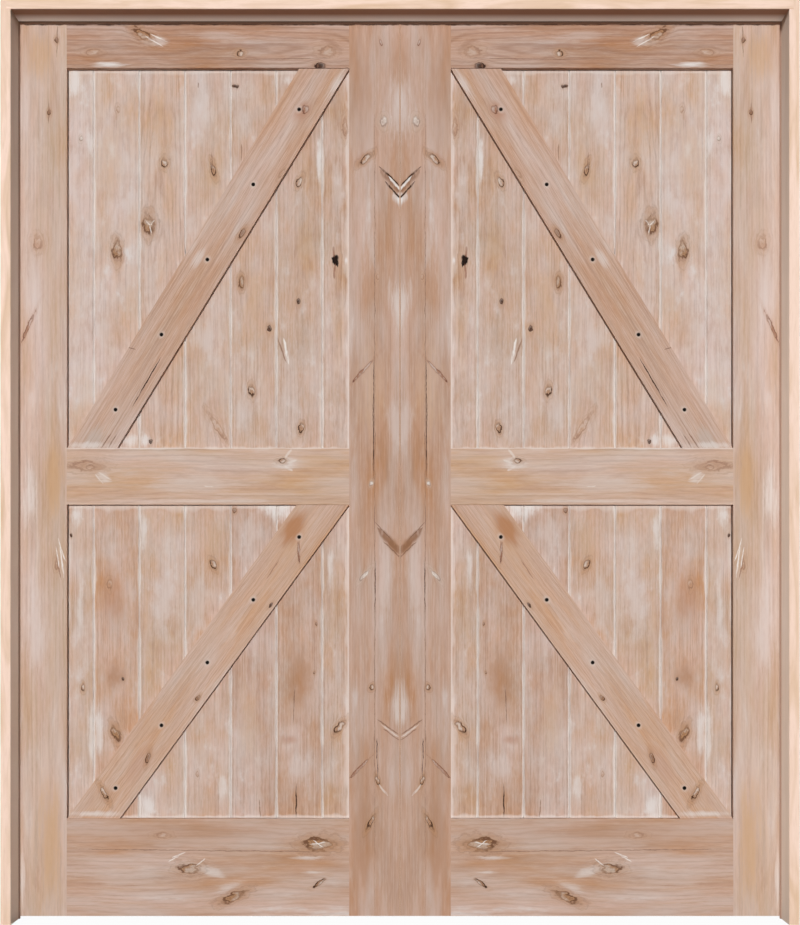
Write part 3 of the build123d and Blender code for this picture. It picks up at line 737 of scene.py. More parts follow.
# %% Patches of each board
patches = {
    "hinge_stile": [(40, 55, 95, 140, 0, "tan", 0.6), (29, 500, 50, 190, 0, "white", 0.6),
                    (56, 480, 50, 200, 0, "tan", 0.7), (50, 840, 80, 330, 0, "tan", 0.7),
                    (23, 880, 20, 180, 0, "white", 0.5), (35, 640, 70, 260, 0, "haze", 0.65),
                    (33, 280, 60, 240, 0, "haze", 0.45)],
    "lock_stile": [(362, 95, 60, 330, 0, "brown", 0.4), (398, 100, 56, 190, 0, "haze", 0.8),
                   (398, 300, 70, 130, 0, "white", 0.5), (397, 425, 66, 150, 0, "haze", 0.55),
                   (372, 390, 80, 260, 0, "tan", 0.35), (385, 575, 60, 220, 0, "haze", 0.4),
                   (398, 708, 56, 130, 0, "white", 0.5), (362, 830, 50, 380, 0, "brown", 0.5),
                   (399, 199, 30, 50, -30, "white", 0.95), (391, 543, 30, 90, -40, "brown", 0.9),
                   (362, 160, 34, 60, 40, "rose", 0.45)],
    "top_rail": [(111, 64.5, 20, 120, 0, "white", 0.9), (157, 41, 26, 70, 0, "white", 0.5),
                 (215, 35, 30, 160, 0, "haze", 0.35)],
    "mid_rail": [(90, 465, 40, 100, 0, "brown", 0.3), (284, 464, 40, 60, 0, "white", 0.5),
                 (104, 478, 26, 40, 30, "white", 0.45), (200, 485, 50, 300, 0, "haze", 0.4),
                 (220, 501, 12, 500, 0, "white", 0.35), (320, 460, 50, 120, 0, "tan", 0.4)],
    "bottom_rail": [(200, 832, 60, 640, 0, "brown", 0.3), (190, 868, 46, 110, 0, "white", 0.4),
                    (212, 872, 26, 90, 20, "white", 0.45), (228, 888, 30, 90, -20, "white", 0.45),
                    (308, 858, 16, 110, 0, "white", 0.55), (312, 872, 12, 60, 0, "white", 0.5),
                    (120, 880, 60, 260, 0, "haze", 0.3)],
    "upper_plank_1": [(73, 80, 40, 90, 0, "white", 0.75), (89, 140, 24, 110, 0, "white", 0.5),
                      (80, 300, 50, 300, 0, "haze", 0.3)],
    "upper_plank_2": [(112, 150, 70, 200, 0, "tan", 0.3), (125, 203, 60, 80, 0, "haze", 0.6),
                      (104, 330, 50, 200, 0, "haze", 0.4), (128, 440, 60, 44, 0, "white", 0.75)],
    "upper_plank_3": [(160, 110, 80, 120, 0, "tan", 0.35), (150, 290, 50, 160, 0, "haze", 0.5),
                      (172, 200, 50, 200, 0, "tan", 0.3), (146, 440, 40, 36, 0, "white", 0.7)],
    "upper_plank_4": [(200, 110, 60, 180, 0, "haze", 0.5), (215, 170, 40, 160, 0, "tan", 0.3),
                      (207, 340, 80, 100, 0, "haze", 0.55), (190, 220, 40, 100, 0, "haze", 0.5)],
    "upper_plank_5": [(240, 110, 50, 160, 0, "haze", 0.5), (255, 300, 70, 220, 0, "tan", 0.35),
                      (245, 410, 70, 120, 0, "haze", 0.4)],
    "upper_plank_6": [(288, 78, 40, 40, 0, "white", 0.6), (290, 380, 70, 190, 0, "haze", 0.45),
                      (305, 250, 60, 200, 0, "tan", 0.3), (319, 160, 14, 150, 0, "white", 0.8)],
    "upper_plank_7": [(346, 259, 12, 26, 0, "white", 0.9), (338, 190, 40, 200, 0, "haze", 0.4),
                      (338, 330, 40, 260, 0, "tan", 0.3)],
    "lower_plank_1": [(74, 514, 40, 70, 0, "white", 0.75), (79, 610, 16, 180, 0, "white", 0.5),
                      (80, 640, 50, 250, 0, "haze", 0.35), (90, 735, 20, 170, 0, "white", 0.5)],
    "lower_plank_2": [(112, 600, 80, 200, 0, "rose", 0.4), (113, 675, 60, 90, 0, "brown", 0.6),
                      (98, 735, 22, 170, 0, "white", 0.6), (125, 750, 40, 120, 0, "haze", 0.4)],
    "lower_plank_3": [(142, 533, 20, 130, 0, "white", 0.55), (165, 605, 90, 220, 0, "haze", 0.6),
                      (146, 806, 50, 64, 0, "white", 0.65), (150, 740, 50, 120, 0, "haze", 0.3)],
    "lower_plank_4": [(200, 600, 60, 200, 0, "haze", 0.45), (212, 540, 60, 90, 0, "tan", 0.3),
                      (221, 788, 34, 70, 0, "white", 0.4)],
    "lower_plank_5": [(250, 530, 60, 70, 0, "haze", 0.4), (270, 507, 60, 70, 0, "white", 0.95),
                      (250, 720, 70, 200, 0, "tan", 0.3)],
    "lower_plank_6": [(300, 680, 80, 200, 0, "brown", 0.5), (290, 740, 50, 30, 0, "rose", 0.6),
                      (300, 770, 60, 90, 0, "haze", 0.35), (283, 506, 60, 80, 0, "white", 0.95)],
    "lower_plank_7": [(330, 570, 20, 150, 0, "white", 0.5), (338, 680, 40, 200, 0, "haze", 0.3)],
    "upper_brace": [(336, 84, 30, 90, 0, "white", 0.45), (94, 440, 70, 90, 0, "grey", 0.5),
                    (198, 258, 30, 60, 0, "white", 0.4), (302, 111, 44, 70, 0, "rose", 0.75),
                    (88, 445, 20, 150, 58, "white", 0.5)],
    "lower_brace": [(293, 528, 60, 120, 0, "orange", 0.85), (140, 765, 50, 120, 0, "rose", 0.35),
                    (92, 814, 18, 150, 54, "white", 0.6), (105, 795, 50, 50, 0, "brown", 0.3)],
}
print(sum(len(places) for places in patches.values()), "patches on each leaf")

# %% [markdown]
# ## Boards
# No two boards are cut from the same tree, so each gets its own tan, and its own amount of haze, of ring figure and
# of fibre. One tone for all would be less work, but the eye tells boards apart by these long before it sees a knot.

# %% Tone of each board
tones = {
    "hinge_stile": ("#C4A180", 0.52, 0.3, 0.65),
    "lock_stile": ("#B98C6C", 0.34, 0.2, 0.55),
    "top_rail": ("#B78D72", 0.22, 1.3, 0.8),
    "mid_rail": ("#CDA582", 0.4, 0.5, 0.6),
    "bottom_rail": ("#BE9373", 0.32, 0.5, 0.55),
    "upper_plank_1": ("#D2AE8C", 0.8, 0.2, 0.8),
    "upper_plank_2": ("#D0AA89", 0.65, 0.3, 0.8),
    "upper_plank_3": ("#CFA888", 0.56, 0.7, 0.9),
    "upper_plank_4": ("#CCA788", 0.6, 0.4, 0.8),
    "upper_plank_5": ("#C8A283", 0.53, 0.4, 0.9),
    "upper_plank_6": ("#C19A7A", 0.45, 0.4, 0.9),
    "upper_plank_7": ("#C29B7B", 0.45, 0.4, 1.0),
    "lower_plank_1": ("#C8A383", 0.53, 0.3, 0.8),
    "lower_plank_2": ("#C99D7D", 0.3, 0.3, 0.9),
    "lower_plank_3": ("#CAA584", 0.55, 0.3, 0.8),
    "lower_plank_4": ("#C89E7C", 0.45, 0.3, 0.9),
    "lower_plank_5": ("#C0987E", 0.4, 0.3, 0.9),
    "lower_plank_6": ("#C09678", 0.35, 0.3, 1.0),
    "lower_plank_7": ("#C49E7E", 0.48, 0.3, 1.0),
    "upper_brace": ("#C59C80", 0.3, 0.4, 1.05),
    "lower_brace": ("#CDA384", 0.26, 0.4, 0.95),
}
print(len(tones), "boards to a leaf")

# %% [markdown]
# The grain stands upright in stiles and planks, lies level in rails and leans with a brace, so each board's place
# is turned until its grain runs along z. Each pattern starts from the middle of its board.

# %% Grain and middle of each board
brace_ends = {"upper_brace": ((92, 448), (322, 70)), "lower_brace": ((93, 817), (322, 506))}
seam_columns = (67, 93, 138.5, 184.5, 230, 276, 322, 349)
board_middles = {
    "hinge_stile": (43, 470), "lock_stile": (373, 470), "top_rail": (208, 47), "mid_rail": (208, 477),
    "bottom_rail": (208, 867), "upper_brace": (208, 259), "lower_brace": (208, 662),
}
for count in range(7):
    middle_of_plank = (seam_columns[count] + seam_columns[count + 1]) / 2
    board_middles[f"upper_plank_{count + 1}"] = (middle_of_plank, 259)
    board_middles[f"lower_plank_{count + 1}"] = (middle_of_plank, 662)


def grain_turn(board):
    """How far a board's place is turned about y, so that its grain runs along z."""
    if board.endswith("rail"):
        return radians(-90)
    if board.endswith("brace"):
        foot, head = [on_leaf(*end) for end in brace_ends[board]]
        run = head - foot
        return -atan2(run.x, run.z)
    return 0.0


print("lean of the upper brace:", round(grain_turn("upper_brace"), 3))

# %% [markdown]
# The sander can't reach into corners, so dust stays on a plank along its two seams, under the rail above it and on
# the rail below. On top of the two lower rails the same pale band is a painted highlight on the lit ledge. The last
# plank has a wider band, behind the lock stile.

# %% Edges where dust stays
lit_ledge_rows = {"mid_rail": 448, "bottom_rail": 817.5}
panel_rows = {"upper": (70, 448.5), "lower": (506.5, 818)}


def dusty_and_lit_edges(board):
    """The edges of a board where dust stays, and the lit tops of two rails with a painted highlight: direction
    across, level, width in millimetres and share.
    """
    sideways = Vector((1, 0, 0))
    upward = Vector((0, 0, 1))
    # The lit tops of the mid and bottom rails: a painted highlight, drawn as the same pale band.
    if board in lit_ledge_rows:
        return [(upward, on_leaf(0, lit_ledge_rows[board]).z, 8, 0.6)]
    if "plank" not in board:
        return []
    panel, _, number = board.split("_")
    start = on_leaf(seam_columns[int(number) - 1], 0).x
    end = on_leaf(seam_columns[int(number)], 0).x
    head_row, foot_row = panel_rows[panel]
    return [
        (sideways, start, 10, 0.65),
        (sideways.copy(), end, 26 if number == "7" else 10, 0.5),
        (upward, on_leaf(0, head_row).z, 16 if panel == "upper" else 24, 0.35),
        (upward.copy(), on_leaf(0, foot_row).z, 14, 0.5),
    ]


print("dusty edges of a plank:", len(dusty_and_lit_edges("upper_plank_1")))

# %% [markdown]
# Some planks stand a hair behind their neighbour, and then the seam has a faint shadow on one side.
# It is a line like the others, so it needs only its place.

# %% Shadows beside seams
shaded_planks = "3567"
off_seam = 2.6  # in pixels
shadow_rows = {"upper": (20, 500), "lower": (450, 870)}  # past both ends of the planks, so that it doesn't taper


def seam_shadows(board):
    """The faint shadow that some planks have beside their seam, as a line."""
    if "plank" not in board or board[-1] not in shaded_planks:
        return []
    panel, _, number = board.split("_")
    head_row, foot_row = shadow_rows[panel]
    column = seam_columns[int(number) - 1] + off_seam
    return [(column, head_row, column, foot_row, 4, "seam shadow")]


print("planks with a shadow:", sum(bool(seam_shadows(board)) for board in tones))

# %% [markdown]
# ## Dressing a board
# A board is dressed in the order in which its looks came about: it grows with its knots, the sander leaves patches
# and dust, and cracks open as it dries. First comes the place: the right leaf is read as a mirror image of the
# left, and the board is turned to its grain. A slow wobble keeps every edge that is drawn later from being too neat.

# %% Place on a board
ragged_size = 0.0105263
ragged_stretch = (1, 1, 0.45)


def place_on_board(tree, turn):
    """The point to shade, its place on the left leaf with the grain along z, and a slow wobble there."""
    point = add(tree, "TexCoord")
    parts = add(tree, "SeparateXYZ", {0: point["Object"]})
    left = add(tree, "Math", {0: parts["X"]}, operation="ABSOLUTE")
    left = add(tree, "Math", {0: left[0], 1: -1.0}, operation="MULTIPLY")
    place = add(tree, "CombineXYZ", {0: left[0], 1: parts["Y"], 2: parts["Z"]})
    place = add(tree, "Mapping", {"Vector": place[0], "Rotation": turn}, vector_type="POINT")[0]
    slow = add(tree, "VectorMath", {0: place, 1: ragged_stretch}, operation="MULTIPLY")
    wobble = add(tree, "TexNoise", {"Vector": slow[0], "Scale": 1 / ragged_size, "Detail": 4.0, "Roughness": 0.6})
    wobble = add(tree, "VectorMath", {0: wobble["Color"], 1: (0.5, 0.5, 0.5)}, operation="SUBTRACT")[0]
    return point, place, wobble


print("edges wander over", round(1000 * ragged_size, 1), "mm")

# %% [markdown]
# Each knot pushes the fibres that the knot before it has already pushed, so the groups stand in a row.
# The holes round screws are drilled, so they have no wobble.

# %% Fibres past the knots of a board
fibre_wander = 0.004
knot_push = 0.85


def half_size(wide, tall):
    """Half of a mark's size, in metres, from millimetres across and along the grain."""
    return wide / 2000, 1, tall / 2000


def pass_knots(tree, board, turn, place, wobble):
    """The place as the fibres see it after each knot has pushed them, and how near each knot is."""
    flow = add(tree, "VectorMath", {0: wobble, 1: (fibre_wander, 0, 0), 2: place}, operation="MULTIPLY_ADD")[0]
    passed = []
    for column, row, wide, tall, lean, kind in knots[board]:
        centre = on_leaf(column, row)
        centre.rotate(turn)
        near = add(tree, "Group", {
            "Flow": flow, "Place": place, "Wobble": (0, 0, 0) if kind == "hole" else wobble, "Centre": centre,
            "Half": half_size(wide, tall), "Lean": (0, radians(-lean), 0), "Push": knot_push,
        }, node_tree=passing)
        flow = near["Flow"]
        passed.append((near, kind))
    return flow, passed


print("most knots on a board:", max(len(marks) for marks in knots.values()))

# %% [markdown]
# The wood itself comes next. An offset of its own gives each board another piece of the same pattern, and the
# braces, which are cut from a finer tree, have narrower rings. Dust on planks was wiped about as far across as
# along, and on the other boards it was wiped along the grain.

# %% Bare wood of a board
offset_step = Vector((0.37, 0.53, 0.91))
brace_fineness = (1.7, 1, 1)
plank_wipe, other_wipe = 0.5, 0.18
fibre_strength = 1.2


def bare_wood(tree, board, number, turn, flow, place):
    """The alder of a board before anything lies on it."""
    tan, haze, figure, fibre = tones[board]
    middle = on_leaf(*board_middles[board])
    middle.rotate(turn)
    centred = add(tree, "VectorMath", {0: flow, 1: middle}, operation="SUBTRACT")
    if "brace" in board:
        centred = add(tree, "VectorMath", {0: centred[0], 1: brace_fineness}, operation="MULTIPLY")
    return add(tree, "Group", {
        "Flow": centred[0], "Place": place, "Offset": number * offset_step, "Tan": linear(tan), "Haze": haze,
        "Figure": figure, "Fibre": fibre_strength * fibre,
        "Wipe": (1, 1, plank_wipe if "plank" in board else other_wipe),
    }, node_tree=alder)


print("paler and darker fibres at", fibre_strength, "of each board's own strength")

# %% [markdown]
# Patches and dust lie over the bare wood, and a painted highlight lies on the lit tops of two rails. The band along
# an edge follows a noise of its own, about as wide as a thumb, as if it had been swept there.

# %% Patches, dust and painted highlights on a board
sweep_size = 0.041667


def lay_patches(tree, board, turn, place, wood):
    """The wood's colour under its clouds of dust, stain and heartwood."""
    colour = wood["Colour"]
    for column, row, wide, tall, lean, tint, share in patches[board]:
        centre = on_leaf(column, row)
        centre.rotate(turn)
        colour = add(tree, "Group", {
            "Colour": colour, "Place": place, "Breakup": wood["Breakup"], "Centre": centre,
            "Half": half_size(wide, tall), "Lean": (0, radians(-lean), 0),
            "Tint": linear(patch_tints[tint]), "Share": share,
        }, node_tree=patch)["Colour"]
    return colour


def lay_dust_and_highlights(tree, board, turn, place, colour):
    """The colour under the dust along the edges of a board, and under the painted highlight on the lit top of a
    rail.
    """
    slow = add(tree, "VectorMath", {0: place, 1: ragged_stretch}, operation="MULTIPLY")
    swept = add(tree, "TexNoise", {"Vector": slow[0], "Scale": 1 / sweep_size, "Detail": 3.0, "Roughness": 0.55})
    for across, level, width, share in dusty_and_lit_edges(board):
        across.rotate(turn)
        colour = add(tree, "Group", {
            "Colour": colour, "Place": place, "Uneven": swept[0], "Across": across, "Level": level,
            "Width": width / 1000, "Share": share,
        }, node_tree=dust_and_highlight)["Colour"]
    return colour


print("most patches on a board:", max(len(marks) for marks in patches.values()))

# %% [markdown]
# Knots go over the dust, because hard wood sands clean, and cracks and scratches go over the knots that they cross.

# %% Knots and lines on a board
def draw_knots(tree, passed, wobble, colour):
    """The colour with each knot drawn on it."""
    uneven = add(tree, "SeparateXYZ", {0: wobble})
    for near, kind in passed:
        heart, rim, around, body, edge, core, halo, rings, shine = knot_kinds[kind]
        colour = add(tree, "Group", {
            "Colour": colour, "Near": near["Near"], "Tail": near["Tail"], "Side": near["Side"],
            "Break": uneven["Y"], "Heart": linear(heart), "Rim": linear(rim), "Around": linear(around),
            "Body": body, "Edge": edge, "Core": core, "Halo": halo, "Rings": rings, "Shine": shine,
        }, node_tree=knot)["Colour"]
    return colour


def draw_lines(tree, board, turn, place, wobble, colour):
    """The colour with each crack, streak and scratch drawn on it."""
    for start_column, start_row, end_column, end_row, width, kind in lines.get(board, []) + seam_shadows(board):
        start = on_leaf(start_column, start_row)
        end = on_leaf(end_column, end_row)
        start.rotate(turn)
        end.rotate(turn)
        tint, share = line_kinds[kind]
        colour = add(tree, "Group", {
            "Colour": colour, "Place": place, "Wobble": wobble, "Start": start, "Run": end - start,
            "Width": width / 2000, "Tint": linear(tint), "Share": share,
        }, node_tree=line)["Colour"]
    return colour


print("most lines on a board:", max(len(runs) for runs in lines.values()))

# %% [markdown]
# The chamfers of the seams catch the most dust of all. Their faces slope at 45 degrees, so they are known by their
# normal, whose part along x is then the root of a half.

# %% Dust in the chamfers
chamfer_slope = 0.7071


def whiten_chamfers(tree, point, breakup, colour):
    """The colour with dust on every face that slopes as a chamfer does."""
    slope = add(tree, "SeparateXYZ", {0: point["Normal"]})
    slope = add(tree, "Math", {0: slope["X"]}, operation="ABSOLUTE")
    slanted = add(tree, "Math", {0: slope[0], 1: chamfer_slope}, operation="SUBTRACT")
    slanted = add(tree, "Math", {0: slanted[0]}, operation="ABSOLUTE")
    chamfer = add(tree, "MapRange", {0: slanted[0], 1: 0.1, 2: 0.02})
    patchy = add(tree, "MapRange", {0: breakup, 1: -0.1, 2: 0.1, 3: 0.15, 4: 0.65})
    chamfer = add(tree, "Math", {0: chamfer[0], 1: patchy[0]}, operation="MULTIPLY")
    return add(tree, "Mix", {0: chamfer[0], 6: colour, 7: linear("#EFE7E1")}, data_type="RGBA")[2]


print("chamfers have", chamfer_slope, "of their normal along x")

# %% [markdown]
# Now all of it goes into one material for each board. Alder that is sanded and has no finish gives the eye a dull,
# soft surface: no highlight, only the slight relief of fibres that stand up where the sander passed.
# The same material serves the board of both leaves.

# %% Wood of one board
relief_height = 0.0004


def wood_of(board, number):
    """The alder of one board, with its own tone, patches, knots and lines."""
    turn = Euler((0, grain_turn(board), 0))
    material, tree = new_material(f"bare alder, {board.replace('_', ' ')}")
    point, place, wobble = place_on_board(tree, turn)
    flow, passed = pass_knots(tree, board, turn, place, wobble)
    wood = bare_wood(tree, board, number, turn, flow, place)
    colour = lay_patches(tree, board, turn, place, wood)
    colour = lay_dust_and_highlights(tree, board, turn, place, colour)
    colour = draw_knots(tree, passed, wobble, colour)
    colour = draw_lines(tree, board, turn, place, wobble, colour)
    colour = whiten_chamfers(tree, point, wood["Breakup"], colour)
    drawn_out = add(tree, "VectorMath", {0: place, 1: (1, 1, 0.03)}, operation="MULTIPLY")
    pores = add(tree, "TexNoise", {"Vector": drawn_out[0], "Scale": 1 / fibre_width, "Detail": 2.0})
    relief = add(tree, "Bump", {"Height": pores[0], "Distance": relief_height, "Strength": 0.5})
    surface = add(tree, "BsdfPrincipled", {
        "Base Color": colour, "Roughness": 0.7, "Specular IOR Level": 0.08, "Normal": relief[0],
    })
    add(tree, "OutputMaterial", {"Surface": surface[0]})
    return material


for number, board in enumerate(tones):
    wood = wood_of(board, number)
    for side in ("left", "right"):
        frame["nodes"][f"{side}_{board}"].material_slots[0].material = wood
print(len(tones), "boards dressed on each leaf")

# %% [markdown]
# ## Frame wood
# The jambs and the head are planed pine, paler than the leaves. A plane cuts cleanly, so pine gives the eye a faint
# sheen, a slow swirl and almost no figure. One graph serves all three boards of the frame, squeezed along
# whichever way the grain runs.

# %% Clean pine
swirl_size = 0.03333
pine_fibre = 0.003846


def clean_pine(tree, point, squeeze):
    """The colour of planed pine with its grain along the direction that the squeeze makes long."""
    grain = add(tree, "Mapping", {"Vector": point["Object"], "Scale": squeeze}, vector_type="POINT")
    swirl = add(tree, "TexNoise", {"Vector": grain[0], "Scale": 1 / swirl_size, "Detail": 4.0, "Distortion": 1.2})
    fine = add(tree, "TexNoise", {"Vector": grain[0], "Scale": 1 / pine_fibre, "Detail": 2.0})
    swirl_share = add(tree, "MapRange", {0: swirl[0], 1: 0.42, 2: 0.72})
    colour = add(tree, "Mix", {0: swirl_share[0], 6: linear("#FADCCA"), 7: linear("#E2BF9F")}, data_type="RGBA")
    fine_share = add(tree, "MapRange", {0: fine[0], 1: 0.5, 2: 0.8, 3: 0.0, 4: 0.3})
    return add(tree, "Mix", {0: fine_share[0], 6: colour[2], 7: linear("#D9B498")}, data_type="RGBA")[2]


print("swirls of", round(1000 * swirl_size), "mm, fibres of", round(1000 * pine_fibre, 1), "mm")

# %% [markdown]
# Inside the opening the reveals are painted with shade: grey low down, greyer towards the top and darkest in the
# corner under the head. The painted shade stops short of the outer sides of the jambs.

# %% Painted shade in the reveals
pale_below = 1.25
grey_above = 2.0
under_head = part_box("head_jamb")[0][2]
corner_shade_from, corner_shade_to = 0.018, 0.002  # below the head
outer_side = bounds_of_solids[1][0]
skin = 0.004


def shade_reveals(tree, parts, facing, colour):
    """The colour with grey, painted shade, on the faces that look across the opening."""
    aside = add(tree, "Math", {0: facing["X"]}, operation="ABSOLUTE")
    aside = add(tree, "MapRange", {0: aside[0], 1: 0.8, 2: 0.95, 3: 0.0, 4: 0.8})
    inside = add(tree, "Math", {0: parts["X"]}, operation="ABSOLUTE")
    inside = add(tree, "Math", {0: inside[0], 1: outer_side - skin}, operation="LESS_THAN")
    aside = add(tree, "Math", {0: aside[0], 1: inside[0]}, operation="MULTIPLY")
    height = add(tree, "MapRange", {0: parts["Z"], 1: pale_below, 2: grey_above})
    grey = add(tree, "Mix", {0: height[0], 6: linear("#E7DBCE"), 7: linear("#B8ADA3")}, data_type="RGBA")
    # Painted shade, darkest in the corner under the head.
    corner = add(tree, "MapRange", {0: parts["Z"], 1: under_head - corner_shade_from, 2: under_head - corner_shade_to})
    grey = add(tree, "Mix", {0: corner[0], 6: grey[2], 7: linear("#877769")}, data_type="RGBA")
    return add(tree, "Mix", {0: aside[0], 6: colour, 7: grey[2]}, data_type="RGBA")[2]


print("reveals are greyest above", grey_above, "metres")

# %% [markdown]
# The underside of the head is painted with the shade it shows: brown near its front edge, fading to a pale, nearly
# white tone behind.

# %% Underside of the head, and the frame's material
brown_part = 0.026
pale_part = 0.06


def shade_underside(tree, parts, facing, colour):
    """The colour with painted shade on the faces that look down: brown at the front, pale behind."""
    depth = add(tree, "MapRange", {0: parts["Y"], 1: front_of_frame + brown_part, 2: front_of_frame + pale_part})
    under = add(tree, "MapRange", {0: facing["Z"], 1: -0.8, 2: -0.95})
    # Painted shade, from brown at the front edge to nearly white behind.
    underside_shade = add(tree, "Mix", {0: depth[0], 6: linear("#8E6650"), 7: linear("#F2E9E2")}, data_type="RGBA")
    return add(tree, "Mix", {0: under[0], 6: colour, 7: underside_shade[2]}, data_type="RGBA")[2]


def pine_of(name, squeeze):
    """Planed pine, with painted shade in the opening and under the head."""
    material, tree = new_material(name)
    point = add(tree, "TexCoord")
    parts = add(tree, "SeparateXYZ", {0: point["Object"]})
    facing = add(tree, "SeparateXYZ", {0: point["Normal"]})
    colour = clean_pine(tree, point, squeeze)
    colour = shade_reveals(tree, parts, facing, colour)
    colour = shade_underside(tree, parts, facing, colour)
    surface = add(tree, "BsdfPrincipled", {"Base Color": colour, "Roughness": 0.6, "Specular IOR Level": 0.25})
    add(tree, "OutputMaterial", {"Surface": surface[0]})
    return material


upright_pine = pine_of("planed pale pine, upright", (1, 1, 0.12))
level_pine = pine_of("planed pale pine, level", (0.12, 1, 1))
print("frame:", upright_pine.name, "and", level_pine.name)

# %% [markdown]
# ## Weatherstrip, hinges and screws
# Foam is full of small cells, so it is mottled, dull and soft to the eye. Hinge steel is brushed up and down, which
# breaks its reflections into fine upright threads. Black oxide is a thin, dull skin on a screw, a little brown where
# a driver has rubbed it. Each of these could be a picture of the real thing, but at this size two colours and one
# noise are enough, with the same noise as relief, so one function makes them all.

# %% Weatherstrip, hinge steel and screws
foam_cell = 0.0012
brush_spacing = 0.0005
oxide_spot = 0.0015


def flecked(name, base, fleck, size, stretch, relief, shader):
    """A finish whose base colour is flecked with another by noise, which gives it relief as well."""
    material, tree = new_material(name)
    point = add(tree, "TexCoord")
    stretched = add(tree, "VectorMath", {0: point["Object"], 1: stretch}, operation="MULTIPLY")
    noise = add(tree, "TexNoise", {"Vector": stretched[0], "Scale": 1 / size, "Detail": 2.0})
    share = add(tree, "MapRange", {0: noise[0], 1: 0.4, 2: 0.65})
    colour = add(tree, "Mix", {0: share[0], 6: linear(base), 7: linear(fleck)}, data_type="RGBA")
    bump = add(tree, "Bump", {"Height": noise[0], "Distance": relief, "Strength": 0.5})
    surface = add(tree, "BsdfPrincipled", {"Base Color": colour[2], "Normal": bump[0], **shader})
    add(tree, "OutputMaterial", {"Surface": surface[0]})
    return material


even = (1, 1, 1)
upright = (1, 1, 0.04)
dull = {"Roughness": 0.9}
foam = flecked("brown foam weatherstrip", "#B5927F", "#A68673", foam_cell, even, 0.0002, dull)
steel = flecked("brushed hinge steel", "#BDB8B0", "#A9A49C", brush_spacing, upright, 0.00002,
                {"Metallic": 1.0, "Roughness": 0.38})
black = flecked("black oxide screw", "#0D0908", "#1A120E", oxide_spot, even, 0.00005,
                {"Roughness": 0.7, "Specular IOR Level": 0.08})

finishes = {"frame_wood": upright_pine, "weatherstrip": foam, "hinge_steel": steel, "black_screws": black}
for row in frame["record"]["subparts"]:
    if row["material_slot"] in finishes:
        frame["nodes"][row["node"]].material_slots[0].material = finishes[row["material_slot"]]
frame["nodes"]["head_jamb"].material_slots[0].material = level_pine
print("finishes:", list(finishes))

# %% [markdown]
# ## Meeting strip
# Where the leaves meet, a soft strip on the edge of the left leaf closes the gap. It is as pale as the wood, so
# the pair reads as one surface. It is a long bar with a round nose, like one cut from a roll of foam.
# An extruded outline would do as well, but a block of the gap's width with its two front edges rolled over by a
# bevel is as quick by hand. Its size comes from the gap that the solids leave.

# %% Size of the meeting strip
strip_set_back = 0.0004
strip_depth = 0.008
strip_clearance = 0.00005

low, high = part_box("left_lock_stile")
face_of_leaf = low[1]
gap_start = high[0]
gap_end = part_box("right_lock_stile")[0][0] - strip_clearance
strip_size = (gap_end - gap_start, strip_depth, high[2] - low[2])
strip_middle = ((gap_start + gap_end) / 2, face_of_leaf + strip_set_back + strip_depth / 2, (low[2] + high[2]) / 2)
print("meeting strip:", [round(1000 * side, 2) for side in strip_size], "mm")

# %% [markdown]
# The two edges to round are the long ones at the front: both ends are in front of the middle, and they are far
# apart in height. The strip then rides on the left leaf and is lit with it.

# %% Meeting strip
nose_round = 0.0009

bpy.ops.object.select_all(action="DESELECT")
bpy.ops.mesh.primitive_cube_add(size=1, location=strip_middle, scale=strip_size)
strip = bpy.context.object
strip.name = "meeting_strip"
bpy.ops.object.transform_apply(location=True, rotation=True, scale=True)
bpy.ops.object.mode_set(mode="EDIT")
bpy.ops.mesh.select_mode(type="EDGE")
bpy.ops.mesh.select_all(action="DESELECT")
strip_mesh = bmesh.from_edit_mesh(strip.data)
for edge in strip_mesh.edges:
    ends = [v.co for v in edge.verts]
    edge.select_set(max(e.y for e in ends) < strip_middle[1] and abs(ends[0].z - ends[1].z) > strip_depth)
bmesh.update_edit_mesh(strip.data)
bpy.ops.mesh.bevel(offset=nose_round, segments=4)
bpy.ops.object.mode_set(mode="OBJECT")
bpy.ops.object.shade_smooth_by_angle(angle=radians(40))

tan_foam = flecked("tan foam strip", "#CFAA91", "#C29E85", foam_cell, even, 0.0002, dull)
strip.data.materials.append(tan_foam)
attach(strip, "left_leaf")
flags["left_leaf"].objects.link(strip)
print("meeting strip:", len(strip.data.polygons), "faces")

# %% [markdown]
# ## Hinge screws
# Three flat screws hold each plate of a hinge, and they show when a leaf stands open.
# A screw is turned from a rod: its head starts as a disc, its lower rim is drawn in to a cone that fits the
# countersink, and a cross is pressed into the top. One screw is modelled and then copied to every hole.

# %% One hinge screw
head_radius = 0.004
shank_radius = 0.002
head_height = 0.0022
cross_width = 0.0012
cross_length = 0.0052
cross_depth = 0.0009

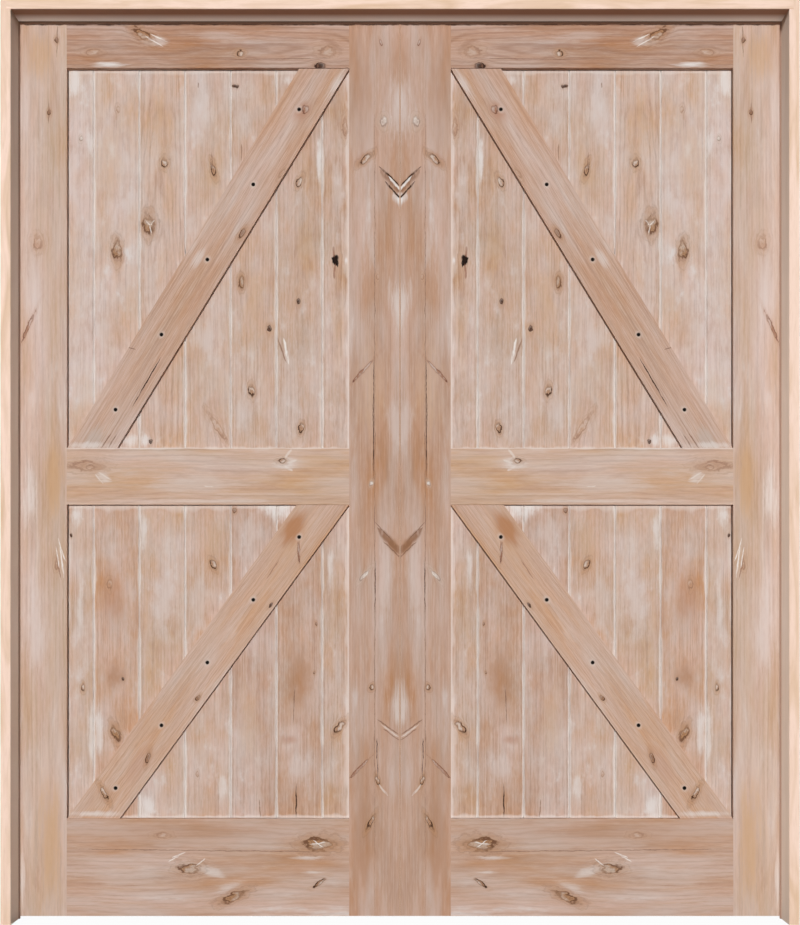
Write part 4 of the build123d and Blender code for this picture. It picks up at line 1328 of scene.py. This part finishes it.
bpy.ops.object.select_all(action="DESELECT")
bpy.ops.mesh.primitive_cylinder_add(vertices=20, radius=head_radius, depth=head_height,
                                    location=(0, 0, -head_height / 2))
first_screw = bpy.context.object
bpy.ops.object.transform_apply(location=True, rotation=True, scale=True)
bpy.ops.object.mode_set(mode="EDIT")
bpy.ops.mesh.select_mode(type="FACE")
bpy.ops.mesh.select_all(action="DESELECT")
screw_mesh = bmesh.from_edit_mesh(first_screw.data)
for face in screw_mesh.faces:
    face.select_set(face.normal.z < -0.9)
bmesh.update_edit_mesh(first_screw.data)
narrow = shank_radius / head_radius
bpy.ops.transform.resize(value=(narrow, narrow, 1))
bpy.ops.object.mode_set(mode="OBJECT")
for turn in (0, 90):
    bpy.ops.object.select_all(action="DESELECT")
    bpy.ops.mesh.primitive_cube_add(size=1, scale=(cross_length, cross_width, 2 * cross_depth),
                                    rotation=(0, 0, radians(turn)))
    punch = bpy.context.object
    bpy.context.view_layer.objects.active = first_screw
    cut = first_screw.modifiers.new("cross", "BOOLEAN")
    cut.object = punch
    cut.operation = "DIFFERENCE"
    bpy.ops.object.modifier_apply(modifier=cut.name)
    bpy.data.objects.remove(punch)
first_screw.data.materials.append(steel)
print("one screw:", len(first_screw.data.polygons), "faces")

# %% [markdown]
# The holes of a plate are at three shares of its height and reach. Screws of the plate on the jamb point into the
# jamb and stay with the frame, and those of the plate on the leaf go with the leaf. Each is turned by another
# angle, because no one lines up the crosses of hinge screws.

# %% Screws in their holes
plate_height = 0.1016
plate_reach = 0.036
plate_places = (0.3348, 1.1223, 1.9098)
hole_shares = ((-0.33, 0.68), (0, 0.36), (0.33, 0.68))
leaf_to_jamb = 0.003
screw_sunk = 0.0002

for side in ("left", "right"):
    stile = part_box(f"{side}_hinge_stile")
    to_leaf = 1 if side == "left" else -1
    leaf_edge = stile[0][0] if side == "left" else stile[1][0]
    jamb_edge = leaf_edge - to_leaf * leaf_to_jamb
    for body, edge, facing in (("frame", jamb_edge, to_leaf), (f"{side}_leaf", leaf_edge, -to_leaf)):
        for number in range(len(plate_places) * len(hole_shares)):
            along, inward = hole_shares[number % len(hole_shares)]
            height = plate_places[number // len(hole_shares)] + along * plate_height
            place = Vector((edge - facing * screw_sunk, stile[1][1] - inward * plate_reach, height))
            screw = first_screw.copy()
            screw.data = first_screw.data.copy()
            screw.name = f"{side}_{body}_hinge_screw_{number + 1}"
            screw.data.transform(Euler((0, 0, number)).to_matrix().to_4x4())
            screw.data.transform(Euler((0, facing * radians(90), 0)).to_matrix().to_4x4())
            screw.data.transform(Matrix.Translation(place))
            bpy.context.scene.collection.objects.link(screw)
            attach(screw, body)
            flags[body].objects.link(screw)
bpy.data.objects.remove(first_screw)
